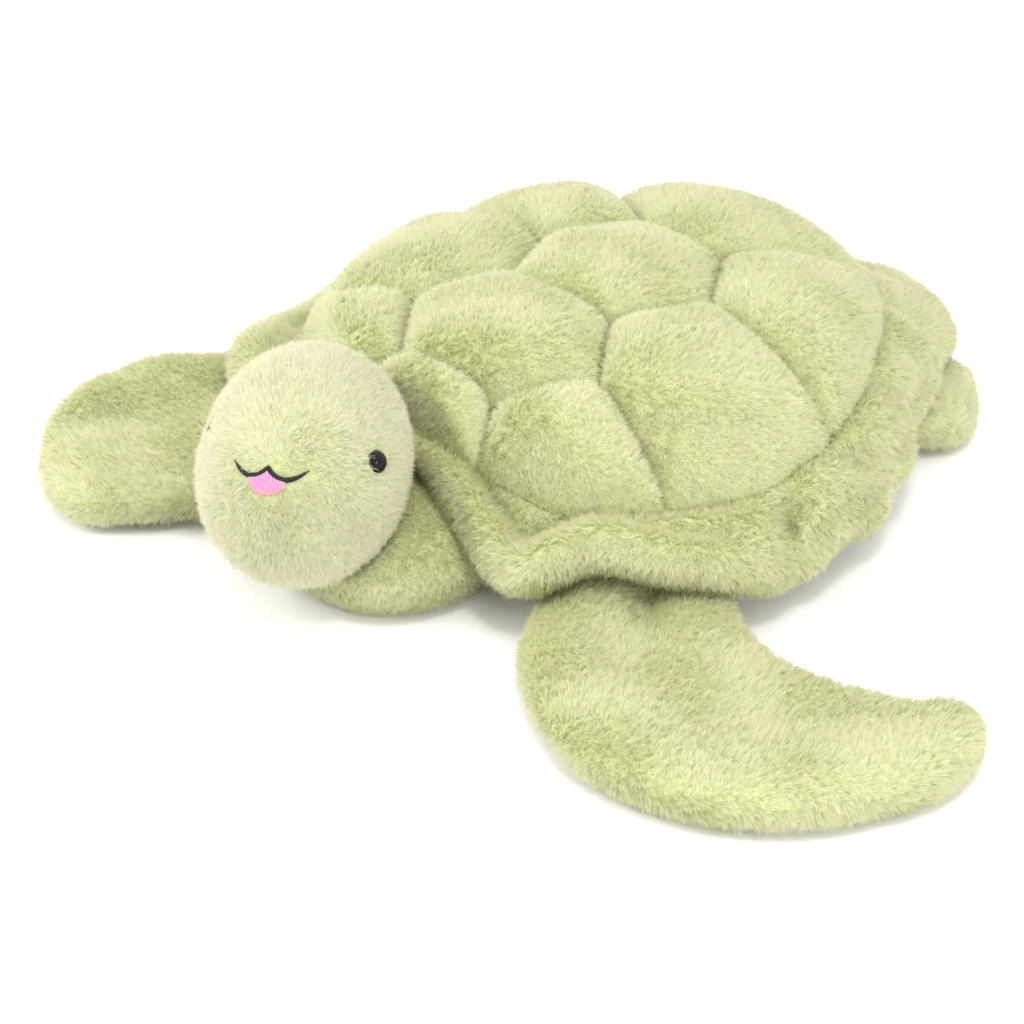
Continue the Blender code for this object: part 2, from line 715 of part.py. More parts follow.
def make_tongue(tree):
    """The satin-stitched tongue, a patch that hangs from the middle of the smile, laid on the cover."""
    end_share = TONGUE_HALF_ANGLE / MOUTH_HALF_ANGLE
    _, end_elevation = mouth_angles(end_share)
    bm = bmesh.new()
    grid = []
    for i in range(TONGUE_COLUMNS + 1):
        share = 2 * i / TONGUE_COLUMNS - 1
        azimuth, elevation = mouth_angles(share * end_share)
        top = elevation - TONGUE_TOP_ANGLE
        hang = TONGUE_DEPTH_ANGLE * math.sqrt(1 - share**2)
        bottom = end_elevation - TONGUE_TOP_ANGLE - TONGUE_CORNER_ANGLE - hang
        column = []
        for j in range(TONGUE_ROWS + 1):
            point, normal = surface_hit(tree, azimuth, top + (bottom - top) * j / TONGUE_ROWS)
            column.append(bm.verts.new(point + normal * (2 * FIT_GAP + TONGUE_THICKNESS)))
        grid.append(column)
    for near, far in zip(grid, grid[1:]):
        for j in range(TONGUE_ROWS):
            bm.faces.new((near[j], near[j + 1], far[j + 1], far[j]))
    tongue = place(object_of("tongue_patch", bm), THREAD_PINK)
    thicken(tongue, TONGUE_THICKNESS)
    return tongue


def make_head(neck_hole):
    cover_form = place_cutter(object_of("head_outside", head_cage()))
    subdivide(cover_form)
    bpy.context.view_layer.update()
    tree = BVHTree.FromObject(cover_form, bpy.context.evaluated_depsgraph_get())
    cover = place(object_of("head_cover", head_cage()), PLUSH_PALE)
    subdivide(cover)
    hollow = place_cutter(object_of("head_hollow", head_cage()))
    subdivide(hollow)
    inset(hollow, COVER_WALL)
    cut(cover, hollow, neck_hole)
    filling = place(object_of("head_filling", head_cage()), STUFFING_WHITE)
    subdivide(filling)
    inset(filling, COVER_WALL + FIT_GAP)
    pieces = [cover, filling]
    for side, prefix in ((1, "left"), (-1, "right")):
        point, normal = surface_hit(tree, side * EYE_AZIMUTH, EYE_ELEVATION)
        eye = place(turned(f"{prefix}_eye", eye_profile(), 0, 0, TURN_STEPS), GLOSS_BLACK)
        along_normal(eye, point + normal * FIT_GAP, normal)
        washer = place(make_washer(f"{prefix}_eye_washer"), WASHER_WHITE)
        along_normal(washer, point, normal)
        pocket = along_normal(place_cutter(make_eye_pocket(f"{prefix}_eye_pocket")), point, normal)
        hole = along_normal(place_cutter(make_stem_hole(f"{prefix}_stem_hole")), point, normal)
        cut(cover, hole)
        cut(filling, pocket)
        pieces += [eye, washer]
    return [*pieces, make_mouth_line(tree), make_tongue(tree)]


def make_neck_hole():
    """The opening at the back of the head through which its stuffing meets the neck's."""
    bm = bmesh.new()
    radii = {"radius1": NECK_HOLE_RADIUS, "radius2": NECK_HOLE_RADIUS}
    bmesh.ops.create_cone(bm, cap_ends=True, segments=TURN_STEPS, depth=NECK_HEIGHT, **radii)
    hole = place_cutter(object_of("neck_hole", bm))
    middle = (HEAD_FRONT + HEAD_REAR) / 2
    neck_middle = Vector((NECK_CENTRE_X, NECK_CENTRE_Y, NECK_SIDE_HEIGHT))
    direction = (neck_middle - middle).normalized()
    return along_normal(hole, middle + direction * HEAD_REAR_RADIUS, direction)


def body_outline():
    """The body's edge in plan, as close points."""
    angles = [2 * math.pi * i / OUTLINE_POINTS for i in range(OUTLINE_POINTS)]
    return [Vector(shell_edge_point(angle, BODY_EDGE_SHARE)) for angle in angles]


def hinge_of(side, outward_angle, along):
    """The hinge's point at the body's side, the outward direction there and the seam's, to the rear."""
    out = Vector((side * math.cos(outward_angle), -math.sin(outward_angle)))
    seam = Vector((-side * out.y, abs(out.x)))
    reach = max(out.dot(point) for point in body_outline()) + FIT_GAP
    return out * reach + seam * along, out, seam


def seated(ring, out, seam, offset):
    """The root's ring moved in until each of its points lies at an offset outwards from the body's side."""
    wall = [point for point in body_outline() if out.dot(point) > 0]
    points = []
    for corner in ring:
        along = seam.dot(corner.xy)
        nearest = min(wall, key=lambda point: abs(seam.dot(point) - along))
        at_side = out * (out.dot(nearest) + offset) + seam * along
        points.append(Vector((*at_side, corner.z)))
    return points


def section(middle, across, half_depth, count):
    """A rounded section: across reaches from its middle to its rear edge, and half_depth up to its top."""
    ring = []
    for k in range(count):
        turn = 2 * math.pi * (k + 0.5) / count
        spread = math.copysign(abs(math.cos(turn)) ** SECTION_SQUARE_SHARE, math.cos(turn))
        rise = math.copysign(abs(math.sin(turn)) ** SECTION_SQUARE_SHARE, math.sin(turn))
        up = Vector((0, 0, rise * half_depth))
        ring.append(middle + (across * spread + up) * CAGE_SWELL_SHARE)
    return ring


def flipper_rings(hinge, stations, length, thickness, count):
    """A ring inside the body, the flipper's sections from its root to near its tip, and the point that ends it."""
    point, out, seam = hinge
    rings, middles = [], []
    for front_u, front_v, rear_u, rear_v, front_z, rear_z, depth in stations:
        front = (*(point + (out * front_u + seam * front_v) * length), front_z * thickness)
        rear = (*(point + (out * rear_u + seam * rear_v) * length), rear_z * thickness)
        middle = (Vector(front) + Vector(rear)) / 2
        across = Vector(rear) - middle
        rings.append(section(middle, across, depth * thickness / 2, count))
        middles.append(middle)
    inner_ring = seated(rings[0], out, seam, -ROOT_OVERRUN)
    rings[0] = seated(rings[0], out, seam, ROOT_STANDOFF)
    tip = middles[-1] + (middles[-1] - middles[-2]).normalized() * across.length * TIP_ROUND_SHARE
    return inner_ring, rings, tip


def make_flipper(name, shape, floor_cutter, body_cutter):
    """A cover that runs into the body and is cut off at its side, and a stuffing that stops short of it."""
    inner_ring, rings, tip = flipper_rings(*shape)
    cover = place(object_of(f"{name}_cover", loft([inner_ring, *rings], last_cap=tip)), PLUSH)
    subdivide(cover)
    thicken(cover, COVER_WALL)
    cut(cover, floor_cutter, body_cutter, folded=True)
    root = tuple(np.mean(rings[0], axis=0))
    filling = place(object_of(f"{name}_filling", loft(rings, first_cap=root, last_cap=tip)), STUFFING_WHITE)
    subdivide(filling)
    inset(filling, COVER_WALL + FIT_GAP)
    return [cover, filling]


def make_flippers(floor_cutter, body_cutter):
    """Each flipper hangs on a hinge along the top of its root's seam."""
    kinds = (
        (1, "left_front", LEFT_FRONT_SHARES),
        (-1, "right_front", RIGHT_FRONT_SHARES),
        (1, "left_rear", REAR_SHARES),
        (-1, "right_rear", REAR_SHARES),
    )
    for side, prefix, stations in kinds:
        if "front" in prefix:
            hinge = hinge_of(side, FRONT_OUTWARD_ANGLE, FRONT_HINGE_ALONG)
            shape = (hinge, stations, FRONT_LENGTH, FRONT_THICKNESS, FRONT_SECTION_COUNT)
        else:
            hinge = hinge_of(side, REAR_OUTWARD_ANGLE, REAR_HINGE_ALONG)
            shape = (hinge, stations, REAR_LENGTH, REAR_THICKNESS, REAR_SECTION_COUNT)
        pieces = make_flipper(f"{prefix}_flipper", shape, floor_cutter, body_cutter)
        root_height, root_depth = stations[0][-2:]
        hinge_height = (root_height + root_depth / 2) * shape[3]
        hang(f"{prefix}_flap", Vector((*hinge[0], hinge_height)), pieces)


def hang(name, point, pieces, parent=None):
    """Gives pieces a parent empty that stands on their joint, and leaves each piece where it is."""
    joint = bpy.data.objects.new(name, None)
    bpy.data.collections["plush_turtle"].objects.link(joint)
    joint.location = point
    for piece in pieces:
        piece.parent = joint
        piece.matrix_parent_inverse = Matrix.Translation(-point)
    if parent:
        joint.parent = parent
        joint.matrix_parent_inverse = Matrix.Translation(-parent.location)
    return joint


def make_floor_cutter():
    """A slab under the ground, which cuts flat what lies on it."""
    bm = bmesh.new()
    bmesh.ops.create_cube(bm, size=1)
    sizes = Matrix.Diagonal((GROUND_SPAN, GROUND_SPAN, CUT_OVERRUN, 1))
    bm.transform(Matrix.Translation((0, 0, -CUT_OVERRUN / 2)) @ sizes)
    return place_cutter(object_of("ground_slab", bm))


def main():
    clear_scene()
    floor_cutter = make_floor_cutter()
    neck_cutter = make_neck_clearance()
    make_body(floor_cutter, neck_cutter)
    make_pads()
    head_cutters = make_head_cutters()
    make_brim(head_cutters[0])
    neck_base = Vector((NECK_CENTRE_X, NECK_CENTRE_Y, NECK_SIDE_HEIGHT))
    neck_joint = hang("neck_turn", neck_base, make_neck(floor_cutter, head_cutters))
    hang("head_nod", HEAD_PIVOT, make_head(make_neck_hole()), neck_joint)
    make_flippers(floor_cutter, make_body_clearance())


if __name__ == "__main__":
    main()
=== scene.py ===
"""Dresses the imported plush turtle: stuffed pads, rolled brim, flippers, neck and head in deep-pile faux fur,
domed eyes, an embroidered smile and a plain studio. Metres, +Z up, the head towards -Y and the turtle's left
side at +X."""

import math

import bmesh
import bpy
import numpy as np
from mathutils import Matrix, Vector


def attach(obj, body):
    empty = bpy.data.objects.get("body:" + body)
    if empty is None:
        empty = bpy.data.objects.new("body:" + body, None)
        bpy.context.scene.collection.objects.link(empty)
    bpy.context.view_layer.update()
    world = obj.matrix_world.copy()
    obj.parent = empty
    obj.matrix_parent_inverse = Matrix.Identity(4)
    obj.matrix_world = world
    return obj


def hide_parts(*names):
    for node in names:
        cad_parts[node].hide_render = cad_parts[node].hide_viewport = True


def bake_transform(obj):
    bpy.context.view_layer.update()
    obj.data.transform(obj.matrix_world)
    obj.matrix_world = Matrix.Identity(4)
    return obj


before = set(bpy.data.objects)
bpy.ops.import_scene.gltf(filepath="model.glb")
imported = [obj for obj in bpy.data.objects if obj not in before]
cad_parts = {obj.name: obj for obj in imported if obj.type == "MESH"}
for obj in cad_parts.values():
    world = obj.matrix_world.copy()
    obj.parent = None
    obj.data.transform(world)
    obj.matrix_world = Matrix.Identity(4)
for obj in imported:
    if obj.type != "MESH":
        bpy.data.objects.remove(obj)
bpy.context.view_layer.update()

bl_info = {
    "name": "Plush Turtle",
    "version": (1, 0, 0),
    "blender": (4, 5, 0),
    "location": "View3D > Sidebar > Plush Turtle",
    "description": "Faux fur, eyes, embroidery and a studio for the plush turtle",
    "category": "Object",
}

MM = 0.001
FULL_TURN = 2 * math.pi

# Shell dome, on which the pads lie, as in the part's source
DOME_HALF_WIDTH = 0.142
DOME_HALF_LENGTH = 0.137
DOME_BASE_HEIGHT = 0.041
DOME_RISE = 0.050
DOME_FOOT_SHARE = 1.10
DOME_FALL_POWER = 3.8
SLUMP_FOOT_SHARE = 0.15
SLUMP_DROP = 0.012
BODY_EDGE_SHARE = 0.985

# The shell's edge in equal steps from the head past the left side, as shares of the dome's ellipse
SHELL_EDGE_SHARES = (
    1.00, 1.03, 1.09, 1.06, 0.995, 0.915, 0.87, 0.89, 0.94, 0.97, 1.00, 1.04, 1.08, 1.11, 1.12, 1.11,
    1.08, 1.03,
)

# Where the seams between the pads meet, as shares of the dome's half width and half length, and the shares of
# a half turn from the head at which they reach the shell's edge
MIDDLE_SEAM_SHARES = {
    "front": (0.22, -0.825),
    "front_side": (0.43, -0.577),
    "middle_front": (0.24, -0.314),
    "middle_side": (0.387, 0.0),
    "rear": (0.176, 0.30),
}
LEFT_EDGE_SEAM_SHARES = {"front": 0.095, "front_side": 0.285, "middle_side": 0.48, "rear": 0.82}
RIGHT_EDGE_SEAM_SHARES = {"front": 0.095, "front_side": 0.31, "middle_side": 0.545, "rear": 0.74}

# The corners of each pad in order round it: the side of the turtle (1 is its left), whether the corner lies
# on the shell's edge, and the seam's name
MIDDLE_PAD_CORNERS = (
    ((-1, True, "front"), (1, True, "front"), (1, False, "front"), (-1, False, "front")),
    (
        (1, False, "front"), (1, False, "front_side"), (1, False, "middle_front"),
        (-1, False, "middle_front"), (-1, False, "front_side"), (-1, False, "front"),
    ),
    (
        (1, False, "middle_front"), (1, False, "middle_side"), (1, False, "rear"),
        (-1, False, "rear"), (-1, False, "middle_side"), (-1, False, "middle_front"),
    ),
    ((-1, False, "rear"), (1, False, "rear"), (1, True, "rear"), (-1, True, "rear")),
)
SIDE_PAD_CORNERS = (
    ((1, True, "front"), (1, True, "front_side"), (1, False, "front_side"), (1, False, "front")),
    (
        (1, True, "front_side"), (1, True, "middle_side"), (1, False, "middle_side"),
        (1, False, "middle_front"), (1, False, "front_side"),
    ),
    ((1, True, "middle_side"), (1, True, "rear"), (1, False, "rear"), (1, False, "middle_side")),
)
PAD_CROWN = 0.0126
PAD_SEAM_DEPTH = 0.0046
PAD_FLAT_POWER = 2.6
PAD_EDGE_POWER = 0.68
PAD_CORNER_ROUND = 0.0045
PAD_BORDER_POINTS = 144
PAD_RINGS = 26

# Brim round the shell: its reach, lip height and gutter depth in equal steps from the head past the left side
BRIM_REACH = 0.040
BRIM_ROLL_RADIUS = 0.0115
BRIM_ROOT_THICKNESS = 0.0035
BRIM_GUTTER_DEPTH = 0.006
BRIM_OVERHANG = 0.0018
QUARTER_OVERLAP = math.radians(1.4)
QUARTER_END_SHARES = 0.5, 0.15
BRIM_REACH_SHARES = (
    0.20, 0.25, 0.60, 1.08, 0.70, 0.83, 0.89, 0.77, 0.60, 0.60, 0.575, 0.50, 0.50, 0.62, 0.77, 1.04,
    1.14, 1.17, 1.00, 0.95, 0.85, 0.75, 0.60, 0.50, 0.40, 0.35, 0.30, 0.30, 0.35, 0.40, 0.50, 0.75,
    0.87, 0.80, 0.45, 0.25,
)
BRIM_LIP_SHARES = (
    1.25, 1.20, 0.92, 0.82, 1.02, 0.95, 0.77, 0.59, 0.75, 0.60, 0.85, 0.68, 0.90, 0.78, 0.95, 0.88,
    0.79, 0.79, 0.73, 0.80, 0.88, 0.85, 0.90, 0.80, 0.90, 0.75, 0.85, 0.80, 0.84, 0.66, 0.75, 0.95,
    1.02, 1.00, 1.15, 1.25,
)
BRIM_GUTTER_SHARES = (
    0.20, 0.20, 1.00, 0.70, -0.20, -0.80, -1.00, -1.00, -1.00, -1.00, -1.00, -1.00, -1.00, -1.00,
    -1.00, -0.90, -0.70, -0.30, 0.60, 0.60, 0.60, 0.60, 0.60, 0.90, 0.60, 1.10, 0.60, 1.10, 0.60, 0.60, 0.60, 0.60,
    0.60, 0.60, 0.40, 0.20,
)

# Folds across the brim: their places at the root and at the lip, in degrees from the head past the left side,
# the half width in degrees and the depth as a share of the roll's radius
BRIM_FOLDS = (
    (33, 27, 3.2, 0.30), (71, 69, 2.6, 1.05), (82, 96, 2.8, 1.05), (105, 117, 2.8, 0.95),
    (123, 127, 3.0, 0.30), (142, 138, 3.4, 0.40), (163, 168, 4.0, 0.25), (196, 190, 4.0, 0.30),
    (218, 222, 4.0, 0.28), (243, 240, 4.0, 0.30), (262, 268, 3.6, 0.30), (287, 282, 3.6, 0.30),
    (304, 309, 3.4, 0.26), (330, 326, 3.4, 0.30),
)

# Height of every underside over the floor: the room that the pressed pile takes
UNDERSIDE_HEIGHT = 3.0 * MM

# Neck: its outline above and below its widest ring, as shares of the radius and of the way up or down
NECK_CENTRE = np.array((0.008, -0.150))
NECK_RADIUS = 0.056
NECK_HEIGHT = 0.040
NECK_SIDE_HEIGHT = 0.020
NECK_LOBE_SHARE = 0.13
NECK_TOP_SHARES = ((0.45, 0.90), (0.78, 0.62), (0.96, 0.25))
NECK_UNDER_SHARES = ((0.96, 0.47), (0.86, 0.85), (0.72, 1.0))

# Head, an egg between a large front ball and a smaller rear one
HEAD_FRONT = np.array((0.006, -0.202, 0.058))
HEAD_FRONT_RADIUS = 0.0450
HEAD_REAR = np.array((-0.0107, -0.182, 0.063))
HEAD_REAR_RADIUS = 0.0415
HEAD_YAW = math.radians(30.6)

# Face
EYE_AZIMUTH = math.radians(78.6)
RIGHT_EYE_AZIMUTH = math.radians(-87)
EYE_ELEVATION = math.radians(26.6)
MOUTH_PEAK_ELEVATION = math.radians(35.9)
MOUTH_END_DROP_ANGLE = math.radians(0.9)
MOUTH_HALF_ANGLE = math.radians(27.4)
MOUTH_DIP_ANGLE = math.radians(5.6)
MOUTH_PEAK_POWER = 0.8
TONGUE_HALF_ANGLE = math.radians(12)
TONGUE_DEPTH_ANGLE = math.radians(8.4)
PARTING_AZIMUTH = math.radians(4)
PARTING_ELEVATION = math.radians(35)
EYE_COMB_WEIGHT = 3.2
EYE_COMB_RANGE = 8 * MM

# How near a hair's root may stand to the middle of the left and of the right eye's seat
EYE_CLEARANCE = np.array((4.2 * MM, 1.2 * MM))

# Front flippers
FRONT_OUTWARD_ANGLE = math.radians(41.3)
FRONT_HINGE_ALONG = 0.0035
FRONT_LENGTH = 0.180
FRONT_THICKNESS = 0.027

# Rear flippers
REAR_OUTWARD_ANGLE = math.radians(-43.8)
REAR_HINGE_ALONG = 0.0035
REAR_LENGTH = 0.060
REAR_THICKNESS = 0.026
FIT_GAP = 0.0003
SECTION_SQUARE_SHARE = 0.8

# Flipper sections from root to tip: the place of the front edge and of the rear edge, outward and rearward of
# the hinge as shares of the length, the heights of the two edges and the depth as shares of the thickness
LEFT_FRONT_SHARES = (
    (0.00, -0.21, 0.00, 0.18, 0.80, 0.80, 0.26),
    (0.180, -0.299, 0.160, 0.167, 0.50, 0.54, 0.78),
    (0.376, -0.332, 0.321, 0.20, 0.50, 0.50, 1.00),
    (0.593, -0.292, 0.432, 0.267, 0.50, 0.50, 1.00),
    (0.779, -0.192, 0.505, 0.356, 0.50, 0.50, 1.00),
    (0.908, 0.004, 0.549, 0.444, 0.50, 0.50, 1.00),
    (0.934, 0.240, 0.578, 0.484, 0.50, 0.50, 0.98),
    (0.892, 0.425, 0.586, 0.542, 0.50, 0.50, 0.92),
)
RIGHT_FRONT_SHARES = (
    (0.00, -0.21, 0.00, 0.18, 0.80, 0.80, 0.26),
    (0.060, -0.36, 0.150, 0.09, 0.54, 0.80, 0.85),
    (0.116, -0.56, 0.288, -0.010, 0.50, 1.05, 1.00),
    (0.253, -0.636, 0.414, -0.070, 0.50, 1.18, 1.00),
    (0.395, -0.662, 0.503, -0.165, 0.50, 1.15, 1.00),
)

# Hollows in the top of each front flipper: the place and width across, from -1 at the front edge to 1 at the
# rear, the place and width along, from 0 at the root to 1 at the tip, and the depth as a share of the
# thickness
LEFT_FRONT_HOLLOWS = (
    (-0.30, 0.22, 0.22, 0.11, 0.24), (0.12, 0.24, 0.12, 0.11, 0.34), (0.25, 0.55, 0.58, 0.25, 0.12),
)
RIGHT_FRONT_HOLLOWS = ((0.12, 0.36, 0.66, 0.40, 0.22),)
REAR_SHARES = (
    (0.00, -0.42, 0.00, 0.37, 0.80, 0.80, 0.26),
    (0.42, -0.38, 0.34, 0.52, 0.58, 0.62, 0.90),
    (0.708, -0.257, 0.544, 0.657, 0.52, 0.55, 1.00),
    (0.838, 0.065, 0.646, 0.709, 0.50, 0.52, 0.92),
    (0.834, 0.306, 0.737, 0.661, 0.50, 0.50, 0.62),
)


def srgb(code):
    """An sRGB hex value as linear red, green and blue."""
    parts = [int(code[k : k + 2], 16) / 255 for k in (1, 3, 5)]
    return tuple(p / 12.92 if p <= 0.04045 else ((p + 0.055) / 1.055) ** 2.4 for p in parts)


def length_setting(name, description, metres):
    return bpy.props.FloatProperty(name=name, description=description, default=metres, unit="LENGTH")


def angle_setting(name, description, degrees):
    return bpy.props.FloatProperty(
        name=name, description=description, default=math.radians(degrees), subtype="ANGLE"
    )


def colour_setting(name, description, code):
    return bpy.props.FloatVectorProperty(
        name=name, description=description, subtype="COLOR", default=srgb(code)
    )


class FurSettings(bpy.types.PropertyGroup):
    pile_length: length_setting("Pile length", "Length of the longest hairs", 5.2 * MM)
    hair_width: length_setting("Hair width", "Width of a hair at its root", 0.45 * MM)
    hairs_per_square_mm: bpy.props.FloatProperty(
        name="Density", description="Hairs on each square millimetre in full view", default=5.4
    )
    tip_colour: colour_setting("Tip", "Colour of the hair's ends", "#F6F9D6")
    head_tip_colour: colour_setting("Head tip", "Colour of the ends on the head", "#FBFBEC")
    # Root: painted shade, a darker, greener colour standing in for the shade and bounced light deep in the pile
    root_shade_colour: colour_setting("Root", "Colour near the backing", "#D8E0A8")
    warm_colour: colour_setting("Warm locks", "Colour of the warmer locks", "#FCF3DC")
    # Backing: darkened as painted shade, for the shade that the pile casts on it
    shaded_backing_colour: colour_setting("Backing", "Colour of the knitted backing", "#AFB784")


class FaceSettings(bpy.types.PropertyGroup):
    eye_radius: length_setting("Eye radius", "Radius of the domed eye", 5.0 * MM)
    mouth_width: length_setting("Smile width", "Widest part of the embroidered line", 2.5 * MM)
    thread_spacing: length_setting("Thread spacing", "From one row of satin stitches to the next", 1.1 * MM)
    line_colour: colour_setting("Smile", "Colour of the smile's thread", "#232426")
    tongue_colour: colour_setting("Tongue", "Colour of the tongue's thread", "#F593BF")
    tongue_edge_colour: colour_setting("Tongue edge", "Colour of the tongue's outline", "#F2A58C")


class StudioSettings(bpy.types.PropertyGroup):
    azimuth: angle_setting("Azimuth", "Where the camera stands", 46.5)
    elevation: angle_setting("Elevation", "How far the camera looks down", 31)
    distance: length_setting("Distance", "From the camera to its target", 1.049)
    lens: bpy.props.FloatProperty(
        name="Lens", description="Focal length in millimetres", default=85.0
    )
    paper_colour: colour_setting("Paper", "Colour of the backdrop paper", "#F7F7F6")


# Tables and curves


def read_along(rows, position, closed=False):
    """Rows read at positions between them: a cubic through the two nearest, whose slope at each is half the
    difference of the rows on either side."""
    rows = np.asarray(rows, float)
    start = np.floor(position).astype(int)
    if not closed:
        start = np.minimum(start, len(rows) - 2)
    t = (position - start).reshape(-1, *[1] * (rows.ndim - 1))
    picks = [start + k for k in (-1, 0, 1, 2)]
    picks = [p % len(rows) if closed else np.clip(p, 0, len(rows) - 1) for p in picks]
    a, b, c, d = (rows[p] for p in picks)
    slope_in, slope_out = (c - a) / 2, (d - b) / 2
    cubic = (2 * t**3 - 3 * t**2 + 1) * b + (t**3 - 2 * t**2 + t) * slope_in
    return cubic + (3 * t**2 - 2 * t**3) * c + (t**3 - t**2) * slope_out


def read_round(shares, angle):
    """A ring of shares read at angles."""
    return read_along(shares, (angle % FULL_TURN) / FULL_TURN * len(shares), closed=True)


def unit(vectors):
    return vectors / np.maximum(np.linalg.norm(vectors, axis=-1, keepdims=True), 1e-12)


def bump_at(value, middle, width):
    """A smooth hump of height 1: e to the minus square of the distance in widths."""
    return np.exp(-(((value - middle) / width) ** 2))


def dome_height(x, y):
    """The dome is level round its middle and falls by a power of the way out; its right side has slumped."""
    slump = np.maximum(0, -x / DOME_HALF_WIDTH)
    reach = np.hypot(x / DOME_HALF_WIDTH, y / DOME_HALF_LENGTH) / (DOME_FOOT_SHARE + SLUMP_FOOT_SHARE * slump)
    return DOME_BASE_HEIGHT + DOME_RISE * (1 - reach**DOME_FALL_POWER) - SLUMP_DROP * slump


def shell_edge(angle, share=1.0):
    """Points of the shell's edge in plan: an ellipse times the table of shares; angle 0 is the head's
    side."""
    angle = np.atleast_1d(angle)
    share = share * read_round(SHELL_EDGE_SHARES, angle)
    return np.stack([DOME_HALF_WIDTH * share * np.sin(angle), -DOME_HALF_LENGTH * share * np.cos(angle)], -1)


# Surfaces


def grid_normals(points):
    """Normals of a grid whose columns close on themselves: the cross product of its two central
    differences."""
    along = np.gradient(points, axis=0)
    across = np.roll(points, -1, 1) - np.roll(points, 1, 1)
    normals = np.cross(across, along)
    middle = points.reshape(-1, 3).mean(0)
    ring = points.mean(1, keepdims=True)
    outward = np.where(np.ptp(ring, axis=0).max() > 0.02, 1, 0) * (points - ring) + (points - middle) * 0.05
    sign = np.sign((normals * outward).sum())
    return unit(normals) * sign


def grid_faces(rows, columns):
    """Quads of a grid whose columns close on themselves."""
    first = np.arange(rows - 1)[:, None] * columns + np.arange(columns)[None, :]
    second = np.arange(rows - 1)[:, None] * columns + (np.arange(columns) + 1)[None, :] % columns
    return np.stack([first, second, second + columns, first + columns], -1).reshape(-1, 4)


def add_object(name, mesh, material):
    mesh.materials.append(material)
    obj = bpy.data.objects.new(name, mesh)
    bpy.context.scene.collection.objects.link(obj)
    return obj


def skin_object(name, points, material):
    """A closed skin on a grid from pole to pole: its quads, with the points of each pole merged."""
    rows, columns, _ = points.shape
    mesh = bpy.data.meshes.new(name)
    mesh.from_pydata(points.reshape(-1, 3), [], grid_faces(rows, columns).tolist())
    bm = bmesh.new()
    bm.from_mesh(mesh)
    bmesh.ops.remove_doubles(bm, verts=bm.verts, dist=0.00001)
    bmesh.ops.recalc_face_normals(bm, faces=bm.faces)
    bm.to_mesh(mesh)
    bm.free()
    mesh.shade_smooth()
    return add_object(name, mesh, material)


def with_poles(grid):
    """The grid with its first and last rows drawn together into a pole each."""
    first = np.broadcast_to(grid[0].mean(0), grid[:1].shape)
    last = np.broadcast_to(grid[-1].mean(0), grid[-1:].shape)
    return np.concatenate([first, grid, last])


# Fur


def cell_corners(values):
    """The values at the four corners of each cell of a grid whose columns close on themselves."""
    beside = np.roll(values, -1, 1)
    return values[:-1], values[1:], beside[:-1], beside[1:]


def cell_weights(points, share):
    """The area of each cell, half the cross product of its diagonals, times its share of hairs."""
    p00, p10, p01, p11 = cell_corners(points)
    return np.linalg.norm(np.cross(p10 - p01, p11 - p00), axis=-1) / 2 * share[:-1]


def scatter(rng, points, normals, comb, share, count):
    """Places on the grid, as many to an area as its share says: a cell drawn by its area times its share, and
    a random spot inside it."""
    total = cell_weights(points, share).ravel().cumsum()
    cell = np.minimum(np.searchsorted(total, rng.random(count) * total[-1]), total.size - 1)
    s, t = rng.random((2, count, 1))

    def blend(a):
        q00, q10, q01, q11 = (q.reshape(-1, 3)[cell] for q in cell_corners(a))
        return (q00 * (1 - s) + q10 * s) * (1 - t) + (q01 * (1 - s) + q11 * s) * t

    return blend(points), unit(blend(normals)), blend(comb)


def turn_about(vectors, axes, angles):
    """Each vector, square to its axis, turned about it."""
    angles = angles[:, None]
    return vectors * np.cos(angles) + np.cross(axes, vectors) * np.sin(angles)


HAIRS_A_LOCK = 6
LOCK_RADIUS = 1.1 * MM
LOCK_DRAW_SHARE = 0.25
LOCK_TURN = 0.45
SWIRL_TURN = 0.40
SWIRL_SIZE = 14 * MM
ROOT_SINK = 0.9 * MM
HAIR_LEAN = 0.80
HAIR_LEAN_SPREAD = 0.28
SOFT_NORMAL_SHARE = 0.80
THROUGH_SHARE = 0.47
FLOOR_ROOM = (0.2 * MM, 0.9 * MM)


def swirls(points):
    """A slow change of combing over the fabric: a sum of sines of place, each crossed with the next."""
    x, y, z = (points / SWIRL_SIZE).T
    return np.sin(x * 1.3 + 2.1 * np.sin(y * 0.7 + z)) + np.sin(y * 1.7 - 1.3 * np.sin(x * 0.9 + z * 1.1))


